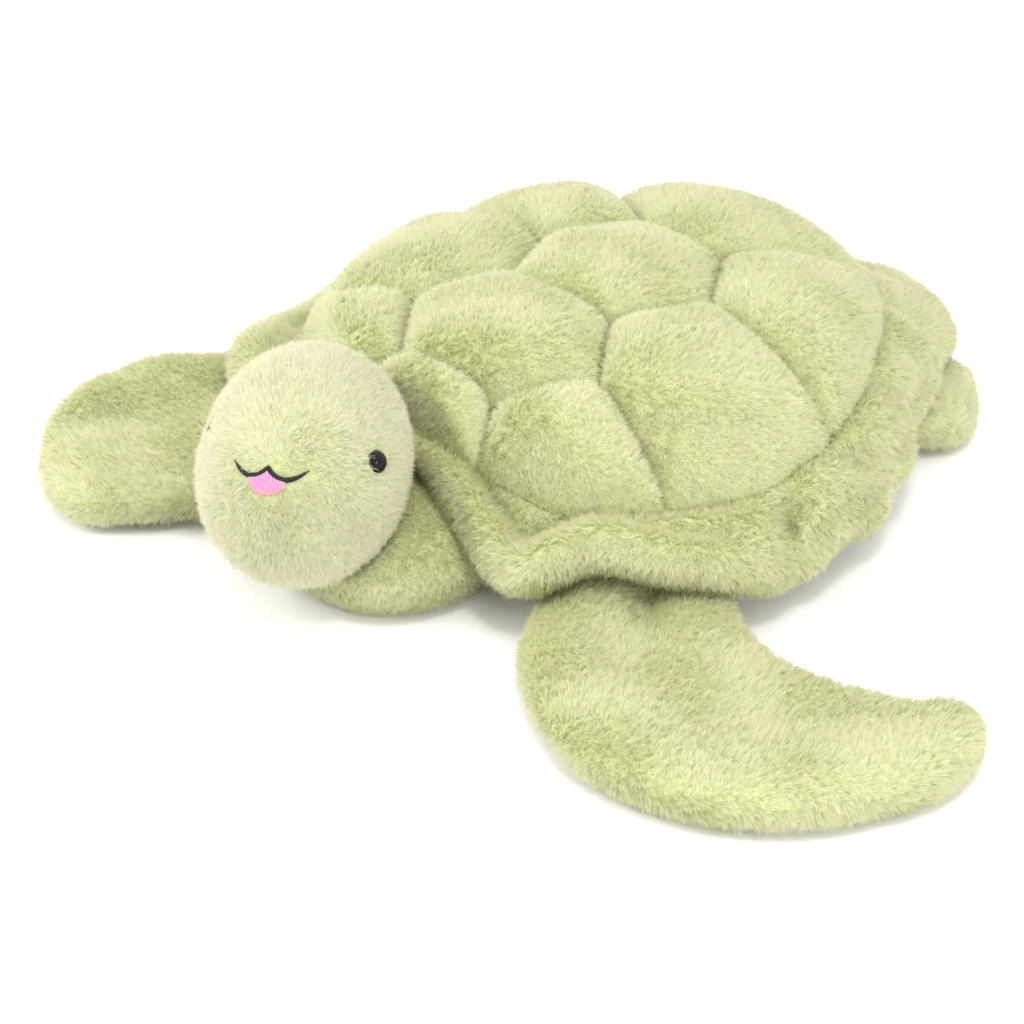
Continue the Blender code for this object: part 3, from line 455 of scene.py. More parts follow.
def grow_fur(name, points, comb_to, share, material, seed, length=1.0, density=1.0, clear=None):
    """Faux fur in locks: each lock leans the way it is combed, its hairs stand round it and draw together at
    their tips, and each hair is one thin triangle, as the object holds about two million of them. length is a
    share of the pile's, one for the piece or one for each point of the grid."""
    fur = bpy.context.scene.turtle_fur
    rng = np.random.default_rng(seed)
    normals = grid_normals(points)
    comb = comb_to(points, normals)
    comb = comb - (comb * normals).sum(-1, keepdims=True) * normals
    comb = unit(comb) * (np.broadcast_to(length, share.shape)[..., None] + 0.001)
    area = float(cell_weights(points, share).sum())
    thin = 1
    locks = int(area / MM**2 * fur.hairs_per_square_mm * density * thin / HAIRS_A_LOCK)
    base, normal, lean = scatter(rng, points, normals, comb, share, locks)
    size = np.linalg.norm(lean, axis=1, keepdims=True) * fur.pile_length
    lean = unit(lean + 0.0001 * np.cross(normal, (0.3, 0.2, 1.0)))
    lean = turn_about(lean, normal, SWIRL_TURN * swirls(base) + rng.normal(0, LOCK_TURN, locks))
    side = np.cross(normal, lean)
    tilt = np.clip(rng.normal(HAIR_LEAN, HAIR_LEAN_SPREAD, locks), 0.1, 1.4)[:, None]
    size = size * rng.uniform(0.75, 1.0, locks)[:, None]
    rise, run = size * np.cos(tilt), size * np.sin(tilt)
    each = lambda a: np.repeat(a, HAIRS_A_LOCK, axis=0)
    count = locks * HAIRS_A_LOCK
    spread = LOCK_RADIUS * np.sqrt(rng.random(count))[:, None]
    angle = rng.random(count)[:, None] * FULL_TURN
    offset = spread * (np.cos(angle) * each(lean) + np.sin(angle) * each(side))
    normal, lean = each(normal), each(lean)
    reach = rng.uniform(0.72, 1.08, count)[:, None]
    root = each(base) + offset - normal * ROOT_SINK
    tip = each(base) + offset * (1 - LOCK_DRAW_SHARE) + (normal * each(rise) + lean * each(run)) * reach
    tip += rng.normal(0, 0.50 * MM, (count, 3))
    for row in (root, tip):
        row[:, 2] = np.maximum(row[:, 2], rng.uniform(*FLOOR_ROOM, count))
    across = unit(np.cross(tip - root, normal) + rng.normal(0, 0.3, (count, 3)) * fur.pile_length)
    half = fur.hair_width / 2 / math.sqrt(thin)
    flat = unit(np.cross(across, tip - root))
    flip = np.sign((flat * normal).sum(-1, keepdims=True))
    across, flat = across * flip, flat * flip
    verts = np.stack([root + across * half, root - across * half, tip], 1)
    soft = unit(normal * SOFT_NORMAL_SHARE + flat * (1 - SOFT_NORMAL_SHARE))
    tint = np.clip(each(rng.normal(0.5, 0.22, locks)) + rng.normal(0, 0.12, count), 0, 1)
    if clear is not None:
        keep = clear(root)
        verts, soft, tint = verts[keep], soft[keep], tint[keep]
    return blades_object(name, verts, soft, tint, material)


def blades_object(name, verts, soft, tint, material):
    """One mesh of all the hairs, a triangle each. Its map has a hair's tint across and the way up it along,
    so that a bake of its colour fits on a small image. Its normals lie near the fabric's, as light passes on
    from hair to hair."""
    count = len(verts)
    mesh = bpy.data.meshes.new(name)
    mesh.vertices.add(count * 3)
    mesh.vertices.foreach_set("co", verts.reshape(-1).astype(np.float32))
    mesh.loops.add(count * 3)
    corners = (np.arange(count) * 3)[:, None] + np.array([0, 2, 1])
    mesh.loops.foreach_set("vertex_index", corners.reshape(-1).astype(np.int32))
    mesh.polygons.add(count)
    mesh.polygons.foreach_set("loop_start", (np.arange(count) * 3).astype(np.int32))
    rise = np.tile(np.array([0, 0, 1]), count)
    mesh.attributes.new("rise", "FLOAT", "POINT").data.foreach_set("value", rise.astype(np.float32))
    each_tint = np.repeat(tint, 3)
    mesh.attributes.new("tint", "FLOAT", "POINT").data.foreach_set("value", each_tint.astype(np.float32))
    across = np.tile(np.array([1, -1, 0]) * 0.01, count) + 0.02 + 0.96 * each_tint
    uv = np.stack([across, 0.02 + 0.96 * rise], -1)[corners.reshape(-1)]
    mesh.uv_layers.new(name="OFBake").uv.foreach_set("vector", uv.reshape(-1).astype(np.float32))
    mesh.polygons.foreach_set("use_smooth", np.ones(count, bool))
    mesh.update(calc_edges=True)
    mesh.normals_split_custom_set_from_vertices(np.repeat(soft, 3, axis=0))
    return add_object(name, mesh, material)


def towards(*direction):
    """Combs every hair one way."""
    return lambda points, normals: np.broadcast_to(np.array(direction, float), points.shape)


def away_from(x, y, down=0.3):
    """Combs outwards from an upright line, and a little down."""

    def comb(points, normals):
        out = points - np.array((x, y, 0))
        out[..., 2] = 0
        return unit(out) + np.array((0, 0, -down))

    return comb


# Materials


# The colour sockets of a Mix node, by number, since its sockets of all kinds share their names
MIX_FACTOR, MIX_FIRST, MIX_SECOND, MIX_RESULT = 0, 6, 7, 2


def node(tree, kind, links=(), **settings):
    """Adds a node, sets its properties and input values, and gives each input named in links a socket or a
    colour."""
    made = tree.nodes.new(kind)
    for key, value in settings.items():
        if hasattr(made, key):
            setattr(made, key, value)
        else:
            made.inputs[key.replace("_", " ")].default_value = value
    for key, source in links:
        if isinstance(source, bpy.types.NodeSocket):
            tree.links.new(source, made.inputs[key])
        else:
            made.inputs[key].default_value = (*source, 1)
    return made


def new_material(name):
    material = bpy.data.materials.get(name)
    if material:
        return material, None, None
    material = bpy.data.materials.new(name)
    material.use_nodes = True
    tree = material.node_tree
    return material, tree, tree.nodes["Principled BSDF"]


def faux_fur(pale=False):
    """Fine polyester pile: matt, soft at grazing angles, pale at the tip, and dyed a little unevenly in patches
    of 15 mm; towards the root it is painted a deeper green as painted shade, for the shade and bounced light
    deep in the pile. Fibres this thin let half of the light through, so deep pile glows."""
    material, tree, shader = new_material("polyester_faux_fur_pale" if pale else "polyester_faux_fur")
    if tree is None:
        return material
    fur = bpy.context.scene.turtle_fur
    rise = node(tree, "ShaderNodeAttribute", attribute_name="rise")
    tint = node(tree, "ShaderNodeAttribute", attribute_name="tint")
    place = node(tree, "ShaderNodeTexCoord")
    patches = node(tree, "ShaderNodeTexNoise", [("Vector", place.outputs["Object"])], Scale=1 / (15 * MM), Detail=3.0)
    tip = fur.head_tip_colour[:] if pale else fur.tip_colour[:]
    ends = node(
        tree, "ShaderNodeMix",
        [(MIX_FACTOR, tint.outputs["Fac"]), (MIX_FIRST, tip), (MIX_SECOND, fur.warm_colour)],
        data_type="RGBA",
    ).outputs[MIX_RESULT]
    # painted shade: the darker root colour, varied by the dye patches, painted at the foot of each hair
    body = node(
        tree, "ShaderNodeMix",
        [(MIX_FACTOR, patches.outputs["Fac"]), (MIX_FIRST, fur.root_shade_colour), (MIX_SECOND, srgb("#E6E8BC"))],
        data_type="RGBA",
    ).outputs[MIX_RESULT]
    # painted shade fading up each hair from the root's shade colour to the tip colour
    colour = node(
        tree, "ShaderNodeMix",
        [(MIX_FACTOR, rise.outputs["Fac"]), (MIX_FIRST, body), (MIX_SECOND, ends)],
        data_type="RGBA",
    ).outputs[MIX_RESULT]
    tree.links.new(colour, shader.inputs["Base Color"])
    shader.inputs["Roughness"].default_value = 0.75
    shader.inputs["Specular IOR Level"].default_value = 0.2
    through = node(tree, "ShaderNodeBsdfTranslucent", [("Color", colour)])
    both = node(tree, "ShaderNodeMixShader", [(1, shader.outputs["BSDF"]), (2, through.outputs["BSDF"])])
    both.inputs["Fac"].default_value = THROUGH_SHARE
    tree.links.new(both.outputs["Shader"], tree.nodes["Material Output"].inputs["Surface"])
    return material


def knitted_backing():
    """The knitted polyester ground of the fur, which shows only between the hairs: matt loops about 1 mm
    apart, both of their colours darkened as painted shade for the shade of the pile over them."""
    material, tree, shader = new_material("knitted_polyester_backing")
    if tree is None:
        return material
    fur = bpy.context.scene.turtle_fur
    place = node(tree, "ShaderNodeTexCoord")
    loops = node(tree, "ShaderNodeTexVoronoi", [("Vector", place.outputs["Object"])], Scale=1 / (1.0 * MM))
    bump = node(tree, "ShaderNodeBump", [("Height", loops.outputs["Distance"])], Strength=0.6, Distance=0.3 * MM)
    # painted shade: both loop colours are darkened for the shade of the pile above them
    colour = node(
        tree, "ShaderNodeMix",
        [(MIX_FACTOR, loops.outputs["Distance"]), (MIX_FIRST, fur.shaded_backing_colour), (MIX_SECOND, srgb("#BAC290"))],
        data_type="RGBA",
    ).outputs[MIX_RESULT]
    tree.links.new(colour, shader.inputs["Base Color"])
    tree.links.new(bump.outputs["Normal"], shader.inputs["Normal"])
    shader.inputs["Roughness"].default_value = 0.9
    shader.inputs["Specular IOR Level"].default_value = 0.1
    return material


def satin_stitch(name, colour, edge_colour=None, slant=0.0):
    """Rayon embroidery thread in satin stitch: fine parallel threads with painted shade in their grooves, and a soft
    gloss.
    The map's first coordinate runs across the threads, in metres."""
    material, tree, shader = new_material(name)
    if tree is None:
        return material
    face = bpy.context.scene.turtle_face
    place = node(tree, "ShaderNodeUVMap", uv_map="stitch")
    turned = node(tree, "ShaderNodeMapping", [("Vector", place.outputs["UV"])])
    turned.inputs["Rotation"].default_value = (0, 0, slant)
    # A wave's own period is 1/20 of its unit at a scale of 1 for each full turn of 2 pi
    scale = FULL_TURN / 20 / face.thread_spacing
    threads = node(tree, "ShaderNodeTexWave", [("Vector", turned.outputs["Vector"])], Scale=scale, Distortion=1.5)
    bump = node(tree, "ShaderNodeBump", [("Height", threads.outputs["Fac"])], Strength=0.8, Distance=0.25 * MM)
    # painted shade: the grooves between the threads are painted at 0.55 of the thread's colour
    groove_shade = tuple(c * 0.55 for c in colour)
    fill = node(
        tree, "ShaderNodeMix",
        [(MIX_FACTOR, threads.outputs["Fac"]), (MIX_FIRST, groove_shade), (MIX_SECOND, colour)],
        data_type="RGBA",
    ).outputs[MIX_RESULT]
    if edge_colour:
        edge = node(tree, "ShaderNodeAttribute", attribute_name="edge")
        fill = node(
            tree, "ShaderNodeMix",
            [(MIX_FACTOR, edge.outputs["Fac"]), (MIX_FIRST, fill), (MIX_SECOND, edge_colour)],
            data_type="RGBA",
        ).outputs[MIX_RESULT]
    tree.links.new(fill, shader.inputs["Base Color"])
    tree.links.new(bump.outputs["Normal"], shader.inputs["Normal"])
    shader.inputs["Roughness"].default_value = 0.42
    shader.inputs["Specular IOR Level"].default_value = 0.2
    return material


def polished_eye():
    """Black ABS moulded with a polished dome: a deep gloss that mirrors the lamps, with faint moulding
    ripple."""
    material, tree, shader = new_material("polished_black_ABS")
    if tree is None:
        return material
    place = node(tree, "ShaderNodeTexCoord")
    ripple = node(tree, "ShaderNodeTexNoise", [("Vector", place.outputs["Object"])], Scale=1 / (4 * MM), Detail=1.0)
    bump = node(tree, "ShaderNodeBump", [("Height", ripple.outputs["Fac"])], Strength=0.05, Distance=0.05 * MM)
    colour = node(
        tree, "ShaderNodeMix",
        [(MIX_FACTOR, ripple.outputs["Fac"]), (MIX_FIRST, srgb("#0B0B0C")), (MIX_SECOND, srgb("#151516"))],
        data_type="RGBA",
    ).outputs[MIX_RESULT]
    tree.links.new(colour, shader.inputs["Base Color"])
    tree.links.new(bump.outputs["Normal"], shader.inputs["Normal"])
    shader.inputs["Roughness"].default_value = 0.04
    shader.inputs["Specular IOR Level"].default_value = 0.25
    return material


def moulded_washer():
    """White polypropylene of the washers inside the head: plain, slightly waxy."""
    material, tree, shader = new_material("moulded_polypropylene")
    if tree is None:
        return material
    place = node(tree, "ShaderNodeTexCoord")
    grain = node(tree, "ShaderNodeTexNoise", [("Vector", place.outputs["Object"])], Scale=1 / (0.8 * MM), Detail=2.0)
    colour = node(
        tree, "ShaderNodeMix",
        [(MIX_FACTOR, grain.outputs["Fac"]), (MIX_FIRST, srgb("#DCDCDA")), (MIX_SECOND, srgb("#E6E6E4"))],
        data_type="RGBA",
    ).outputs[MIX_RESULT]
    tree.links.new(colour, shader.inputs["Base Color"])
    shader.inputs["Roughness"].default_value = 0.5
    return material


def backdrop_paper():
    """Seamless studio paper: smooth, matt and almost white."""
    material, tree, shader = new_material("seamless_backdrop_paper")
    if tree is None:
        return material
    colour = bpy.context.scene.turtle_studio.paper_colour[:]
    place = node(tree, "ShaderNodeTexCoord")
    fibre = node(tree, "ShaderNodeTexNoise", [("Vector", place.outputs["Object"])], Scale=1 / (2 * MM), Detail=2.0)
    mottled = node(
        tree, "ShaderNodeMix",
        [(MIX_FACTOR, fibre.outputs["Fac"]), (MIX_FIRST, colour), (MIX_SECOND, tuple(c * 0.995 for c in colour))],
        data_type="RGBA",
    ).outputs[MIX_RESULT]
    tree.links.new(mottled, shader.inputs["Base Color"])
    shader.inputs["Roughness"].default_value = 0.9
    shader.inputs["Specular IOR Level"].default_value = 0.1
    return material


# Dressing one piece


def dress(
    name, points, comb, share, seed, holder, nodes=(), slot="plush", length=1.0, density=1.0, clear=None
):
    """A stuffed skin and its fur, both held by one body, or left unheld where a span between two bodies is
    given, in place of the part's soft solids."""
    skin = skin_object(f"{name}_skin", points, knitted_backing())
    coat = grow_fur(f"{name}_fur", points, comb, share, faux_fur(slot == "plush_pale"), seed, length, density, clear)
    for piece in (skin, coat):
        if isinstance(holder, str):
            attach(piece, holder)
        else:
            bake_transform(piece)
    if nodes:
        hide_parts(*nodes)
    return skin, coat


# Pads


def corner_angle(side, name):
    shares = LEFT_EDGE_SEAM_SHARES if side > 0 else RIGHT_EDGE_SEAM_SHARES
    return side * shares[name] * math.pi


def corner_point(side, on_edge, name):
    if on_edge:
        return shell_edge(corner_angle(side, name))[0]
    return np.array(MIDDLE_SEAM_SHARES[name]) * (side * DOME_HALF_WIDTH, DOME_HALF_LENGTH)


def pad_border(corners, points_a_side=60):
    """A pad's border in plan, at equal steps, with its corners rounded by a running mean."""
    runs = []
    share = np.linspace(0, 1, points_a_side, endpoint=False)[:, None]
    for start, end in zip(corners, corners[1:] + corners[:1]):
        if start[1] and end[1]:
            first, last = corner_angle(start[0], start[2]), corner_angle(end[0], end[2])
            turn = (last - first + math.pi) % FULL_TURN - math.pi
            runs.append(shell_edge(first + turn * share[:, 0]))
        else:
            a, b = corner_point(*start), corner_point(*end)
            runs.append(a + (b - a) * share)
    line = np.concatenate(runs)
    line = np.concatenate([line, line[:1]])
    length = np.concatenate([[0], np.linalg.norm(np.diff(line, axis=0), axis=1).cumsum()])
    steps = np.linspace(0, length[-1], PAD_BORDER_POINTS, endpoint=False)
    even = np.stack([np.interp(steps, length, line[:, k]) for k in (0, 1)], -1)
    reach = PAD_CORNER_ROUND / (length[-1] / PAD_BORDER_POINTS)
    width = int(3 * reach) + 1
    weights = np.exp(-0.5 * (np.arange(-width, width + 1) / reach) ** 2)
    weights /= weights.sum()
    return sum(w * np.roll(even, k, axis=0) for w, k in zip(weights, range(-width, width + 1)))


def pad_grid(corners):
    """A pad from the middle of its top out to its border and back under: at a share s of the way out it rises
    above its seam by (1 - s to one power) to a lower power."""
    border = pad_border(corners)
    centre = border.mean(0)
    out = np.sin(np.linspace(0, math.pi / 2, PAD_RINGS))
    under = np.array([0.97, 0.7, 0.3])
    share = np.concatenate([out, under])[:, None]
    reach = np.linalg.norm(border - centre, axis=1)[None, :]
    drawn = share * (1 - 0.3 * MM / reach)
    plan = centre + (border - centre)[None] * drawn[..., None]
    rise = (PAD_CROWN + PAD_SEAM_DEPTH) * np.maximum(1 - share**PAD_FLAT_POWER, 0) ** PAD_EDGE_POWER - PAD_SEAM_DEPTH
    rise[PAD_RINGS:] = -PAD_SEAM_DEPTH - 0.2 * MM
    height = dome_height(plan[..., 0], plan[..., 1]) + rise
    grid = np.concatenate([plan, height[..., None]], -1)
    return with_poles(grid)


def make_pads():
    pads = [(f"vertebral_scute_{k + 1}", corners) for k, corners in enumerate(MIDDLE_PAD_CORNERS)]
    for side, prefix in ((1, "left"), (-1, "right")):
        for k, corners in enumerate(SIDE_PAD_CORNERS):
            own = tuple((side, on_edge, name) for _, on_edge, name in corners)
            pads.append((f"{prefix}_costal_scute_{k + 1}", own))
    for seed, (name, corners) in enumerate(pads):
        grid = pad_grid(corners)
        share = np.ones(grid.shape[:2])
        share[PAD_RINGS + 1 :] = 0
        length = np.interp(np.arange(len(grid)), (PAD_RINGS * 0.55, PAD_RINGS), (1.0, 0.55))[:, None]
        dress(name, grid, towards(0.25, 0.6, -0.5), share, 10 + seed, "body", [name], length=length)


class TURTLE_OT_pads(bpy.types.Operator):
    """Makes the shell's ten stuffed pads."""

    bl_idname = "turtle.pads"
    bl_label = "Shell pads"

    def execute(self, context):
        make_pads()
        return {"FINISHED"}


# Brim


def brim_grid(start, end, rows=130, columns=48):
    """Sections round the shell: each is a closed curve through a root at the pads' seam, a gutter, a full
    round roll and an underside, in the plane square to the shell's edge. Where the gutter's share is below
    zero, the top swells instead, along a curve from root to lip that falls by the power 1.8 of the way out.
    Each fold presses the top down by a bell curve about a line that crosses the brim on a slant. The first
    and last sections are drawn in, so that each end of a quarter lies inside its neighbour."""
    angle = np.linspace(start, end, rows)
    edge = shell_edge(angle)
    out = unit(edge / np.array((DOME_HALF_WIDTH, DOME_HALF_LENGTH)) ** 2)
    root = dome_height(edge[:, 0], edge[:, 1]) - PAD_SEAM_DEPTH
    reach = BRIM_REACH * read_round(BRIM_REACH_SHARES, angle)
    lip = DOME_BASE_HEIGHT * read_round(BRIM_LIP_SHARES, angle)
    gutter = BRIM_GUTTER_DEPTH * read_round(BRIM_GUTTER_SHARES, angle)
    full = np.clip(-gutter / BRIM_GUTTER_DEPTH, 0, 1)
    roll = np.minimum(BRIM_ROLL_RADIUS, (reach + 5 * MM) / 2)
    middle = reach + BRIM_OVERHANG - roll
    inner = np.maximum(middle - roll, 1 * MM)
    hollow = (root + lip) / 2 - gutter
    wide = middle + roll

    def swollen(offset, height, place):
        brow = root + (lip + roll * 0.7 - root) * place**1.8 + 2 * MM
        return offset * (1 - full) + wide * place * full, height * (1 - full) + np.maximum(brow, height) * full

    profile = (
        (0 * reach, root),
        swollen(inner * 0.5, hollow + roll * 0.35, 0.25),
        swollen(middle - roll * 0.80, lip + roll * 0.55, 0.50),
        swollen(middle - roll * 0.15, lip + roll * 0.92, 0.75),
        (middle + roll * 0.6, lip + roll * 0.75),
        (middle + roll, lip),
        (middle + roll * 0.6, lip - roll * 0.72),
        (middle - roll * 0.2, lip - roll * 0.80),
        (inner * 0.5, hollow - roll * 0.45),
        (0 * reach, root - BRIM_ROOT_THICKNESS),
    )
    around = np.linspace(0, len(profile), columns, endpoint=False)
    section = read_along(np.array(profile), around, closed=True)
    offset, height = section[:, 0].T, section[:, 1].T
    share = np.clip(offset / (middle + roll)[:, None], 0, 1)
    top = np.clip((height - hollow[:, None]) / roll[:, None] + 0.8, 0, 1)
    for root_place, lip_place, width, depth in BRIM_FOLDS:
        place = np.radians(root_place + (lip_place - root_place) * share)
        fold = bump_at(angle[:, None], place, math.radians(width)) * depth * BRIM_ROLL_RADIUS
        height = height - fold * top * (0.55 * np.sin(math.pi * share**0.7) + 0.60 * share)
        offset = offset - fold * 0.35 * share
    shrink = np.zeros((rows, 1))
    shrink[[0, -1]], shrink[[1, -2]] = QUARTER_END_SHARES
    offset += (offset.mean(1, keepdims=True) - offset) * shrink
    height += (height.mean(1, keepdims=True) - height) * shrink
    plan = edge[:, None, :] + out[:, None, :] * offset[..., None]
    return np.concatenate([plan, height[..., None]], -1)


def hinge_of(side, outward_angle, along):
    """The hinge's point at the body's side, the outward direction there and the seam's, to the rear."""
    out = np.array((side * math.cos(outward_angle), -math.sin(outward_angle)))
    seam = np.array((-side * out[1], abs(out[0])))
    outline = shell_edge(np.linspace(0, FULL_TURN, 360, endpoint=False), BODY_EDGE_SHARE)
    reach = (outline @ out).max() + FIT_GAP
    return out * reach + seam * along, out, seam


def front_hinge(side):
    return hinge_of(side, FRONT_OUTWARD_ANGLE, FRONT_HINGE_ALONG)


def rear_hinge(side):
    return hinge_of(side, REAR_OUTWARD_ANGLE, REAR_HINGE_ALONG)


def make_brim():
    """Four lengths of brim that meet at the head, the tail and the sides, each given a span at its own
    flipper's hinge but left unheld."""
    quarters = (
        ("left_front", 0.0, 0.5, front_hinge(1)),
        ("left_rear", 0.5, 1.0, rear_hinge(1)),
        ("right_rear", 1.0, 1.5, rear_hinge(-1)),
        ("right_front", 1.5, 2.0, front_hinge(-1)),
    )
    for seed, (key, first, last, (point, out, _)) in enumerate(quarters):
        grid = brim_grid(first * math.pi - QUARTER_OVERLAP, last * math.pi + QUARTER_OVERLAP)
        closed = with_poles(grid)
        share = np.ones(closed.shape[:2])
        share[:3] = share[-4:] = 0
        columns = closed.shape[1]
        turn = np.arange(columns) / columns
        share *= np.where((turn > 0.72) & (turn < 0.98), 0.35, 1.0)[None, :]
        start = (*(point + out * 2 * MM), 0.03)
        end = (*(point + out * 30 * MM), 0.03)
        holder = ("body", f"{key}_flipper", start, end)
        nodes = ["shell_brim"] if key == "left_front" else []
        dress(f"brim_{key}", closed, away_from(0, 0, 0.7), share, 40 + seed, holder, nodes, length=1.1)


class TURTLE_OT_brim(bpy.types.Operator):
    """Makes the stuffed brim round the shell."""

    bl_idname = "turtle.brim"
    bl_label = "Shell brim"

    def execute(self, context):
        make_brim()
        return {"FINISHED"}


# Belly and neck


def belly_grid(rows=60, columns=160):
    """Rings from the middle of the belly round the side to the top of the dome, with a soft lobe of the belly
    that spills forward beside the neck."""
    angle = np.linspace(0, FULL_TURN, columns, endpoint=False)
    low = UNDERSIDE_HEIGHT
    lobe = 19 * MM * bump_at(angle, math.radians(32), math.radians(13))
    plain = 0 * angle
    edge = shell_edge(angle, BODY_EDGE_SHARE)
    rim = dome_height(edge[:, 0], edge[:, 1]) - 7 * MM
    levels = (
        (0.02, low + plain, 0),
        (0.45, low + plain, 0),
        (0.76, low + plain, 0.6),
        (0.90, 5.0 * MM + plain, 0.9),
        (0.98, 10 * MM + plain, 1.0),
        (1.0, 18 * MM + plain, 0.7),
        (1.0, (24 * MM + rim) / 2, 0.1),
        (1.0, rim, 0),
    )
    out = unit(edge)
    rings = []
    for share, height, swell in levels:
        rings.append(np.concatenate([edge * share + out * (lobe * swell)[:, None], height[:, None]], -1))
    for share in (0.92, 0.5, 0.02):
        plan = edge * share
        height = dome_height(plan[:, 0], plan[:, 1]) - PAD_SEAM_DEPTH - 1 * MM
        rings.append(np.concatenate([plan, height[:, None]], -1))
    return with_poles(read_along(np.array(rings), np.linspace(0, len(rings) - 1, rows)))


def head_floor(x, y):
    """Height of the head's underside over a point, from balls along its axis, or far above where it isn't
    over it."""
    lowest = np.full(x.shape, 1.0)
    for share in np.linspace(0, 1, 7):
        centre = HEAD_FRONT + (HEAD_REAR - HEAD_FRONT) * share
        radius = HEAD_FRONT_RADIUS + (HEAD_REAR_RADIUS - HEAD_FRONT_RADIUS) * share
        inside = radius**2 - (x - centre[0]) ** 2 - (y - centre[1]) ** 2
        lowest = np.where(inside > 0, np.minimum(lowest, centre[2] - np.sqrt(np.maximum(inside, 0))), lowest)
    return lowest


def neck_grid(rows=50, columns=120):
    """The neck's outline turned round its axis, hollowed where the head sits in it."""
    angle = np.linspace(0, FULL_TURN, columns, endpoint=False)
    low = UNDERSIDE_HEIGHT
    profile = [(0.01, NECK_HEIGHT)]
    profile += [(r, NECK_SIDE_HEIGHT + (NECK_HEIGHT - NECK_SIDE_HEIGHT) * h) for r, h in NECK_TOP_SHARES]
    profile.append((1.0, NECK_SIDE_HEIGHT))
    profile += [(r, NECK_SIDE_HEIGHT - (NECK_SIDE_HEIGHT - low) * h) for r, h in NECK_UNDER_SHARES]
    profile.append((0.01, low))
    line = read_along(np.array(profile), np.linspace(0, len(profile) - 1, rows))
    radius = line[:, :1] * NECK_RADIUS * (1 + NECK_LOBE_SHARE * bump_at(angle, math.radians(38), math.radians(40)))
    x = NECK_CENTRE[0] + radius * np.sin(angle)
    y = NECK_CENTRE[1] - radius * np.cos(angle)
    z = np.maximum(np.minimum(line[:, 1:2] + 0 * x, head_floor(x, y) - 0.5 * MM), low)
    return with_poles(np.stack([x, y, z], -1))


def make_belly():
    grid = belly_grid()
    share = np.ones(grid.shape[:2])
    height = grid[..., 2]
    reach = np.hypot(grid[..., 0] / DOME_HALF_WIDTH, grid[..., 1] / DOME_HALF_LENGTH)
    share[height < UNDERSIDE_HEIGHT + 0.5 * MM] = 0.5
    share[(height > 0.045) | ((height > 0.030) & (reach < 0.9))] = 0
    inside_neck = np.hypot(grid[..., 0] - NECK_CENTRE[0], grid[..., 1] - NECK_CENTRE[1]) < NECK_RADIUS - 4 * MM
    share[inside_neck] = 0
    nodes = ["body_cover", "body_filling", "shell_lining"]
    dress("belly", grid, away_from(0, 0, 0.8), share, 60, "body", nodes, density=0.56)


def make_neck():
    grid = neck_grid()
    share = np.ones(grid.shape[:2])
    under_head = grid[..., 2] > head_floor(grid[..., 0], grid[..., 1]) - 3 * MM
    behind = grid[..., 1] > -0.115
    share[grid[..., 2] < UNDERSIDE_HEIGHT + 0.5 * MM] = 0.5
    share[behind] = 0
    length = np.where(under_head, 0.35, 1.0)
    nodes = ["neck_cover", "neck_filling"]
    dress("neck", grid, away_from(*NECK_CENTRE, 0.5), share, 61, "neck", nodes, length=length)


class TURTLE_OT_belly(bpy.types.Operator):
    """Makes the belly and the neck."""

    bl_idname = "turtle.belly"
    bl_label = "Belly and neck"

    def execute(self, context):
        make_belly()
        make_neck()
        return {"FINISHED"}


# Head and face


def head_parts(direction):
    """Centre and radius of the ball that slides from the front one to the rear one as a direction turns
    back."""
    axis = unit(HEAD_FRONT - HEAD_REAR)
    back = (1 - direction @ axis) / 2
    share = (back * back * (3 - 2 * back))[..., None]
    centre = HEAD_FRONT + (HEAD_REAR - HEAD_FRONT) * share
    return centre, HEAD_FRONT_RADIUS + (HEAD_REAR_RADIUS - HEAD_FRONT_RADIUS) * share


def head_surface(direction):
    centre, radius = head_parts(direction)
    return centre + direction * radius


def face_hit(azimuth, elevation):
    """Where lines out of the front ball's centre meet the head, and the normals there: the direction is
    corrected until the surface point lies on the line."""
    turn = HEAD_YAW + azimuth
    line = np.stack([np.sin(turn) * np.cos(elevation), -np.cos(turn) * np.cos(elevation), np.sin(elevation)], -1)
    direction = line
    for _ in range(12):
        centre, radius = head_parts(direction)
        back = HEAD_FRONT - centre
        middle = (back * line).sum(-1, keepdims=True)
        reach = -middle + np.sqrt(middle**2 - (back * back).sum(-1, keepdims=True) + radius**2)
        direction = unit((back + line * reach) / radius)
    return HEAD_FRONT + line * reach, direction


def mouth_angles(share):
    """Azimuth and elevation along the smile from -1 at its right end to 1: a peak between two dips."""
    dip = MOUTH_DIP_ANGLE * np.sin(math.pi * np.abs(share) ** MOUTH_PEAK_POWER)
    return MOUTH_HALF_ANGLE * share, MOUTH_PEAK_ELEVATION - MOUTH_END_DROP_ANGLE * share**2 - dip


def head_grid(rows=80, columns=120):
    """The egg between two poles on its own axis."""
    axis = unit(HEAD_FRONT - HEAD_REAR)
    side = unit(np.cross(axis, (0, 0, 1)))
    up = np.cross(side, axis)
    polar = np.linspace(0.01, math.pi - 0.01, rows)[:, None]
    turn = np.linspace(0, FULL_TURN, columns, endpoint=False)[None, :]
    ring = np.cos(turn)[..., None] * side + np.sin(turn)[..., None] * up
    direction = np.cos(polar)[..., None] * axis + np.sin(polar)[..., None] * ring
    return with_poles(head_surface(direction))


def eye_places():
    """Where the eyes sit, the left one first."""
    return face_hit(np.array([EYE_AZIMUTH, RIGHT_EYE_AZIMUTH]), np.array([EYE_ELEVATION] * 2))[0]


def nearness(points, places, width):
    """1 at the nearest of some places, falling as a bell curve of its distance."""
    away = np.linalg.norm(points[..., None, :] - places, axis=-1).min(-1)
    return bump_at(away, 0, width)


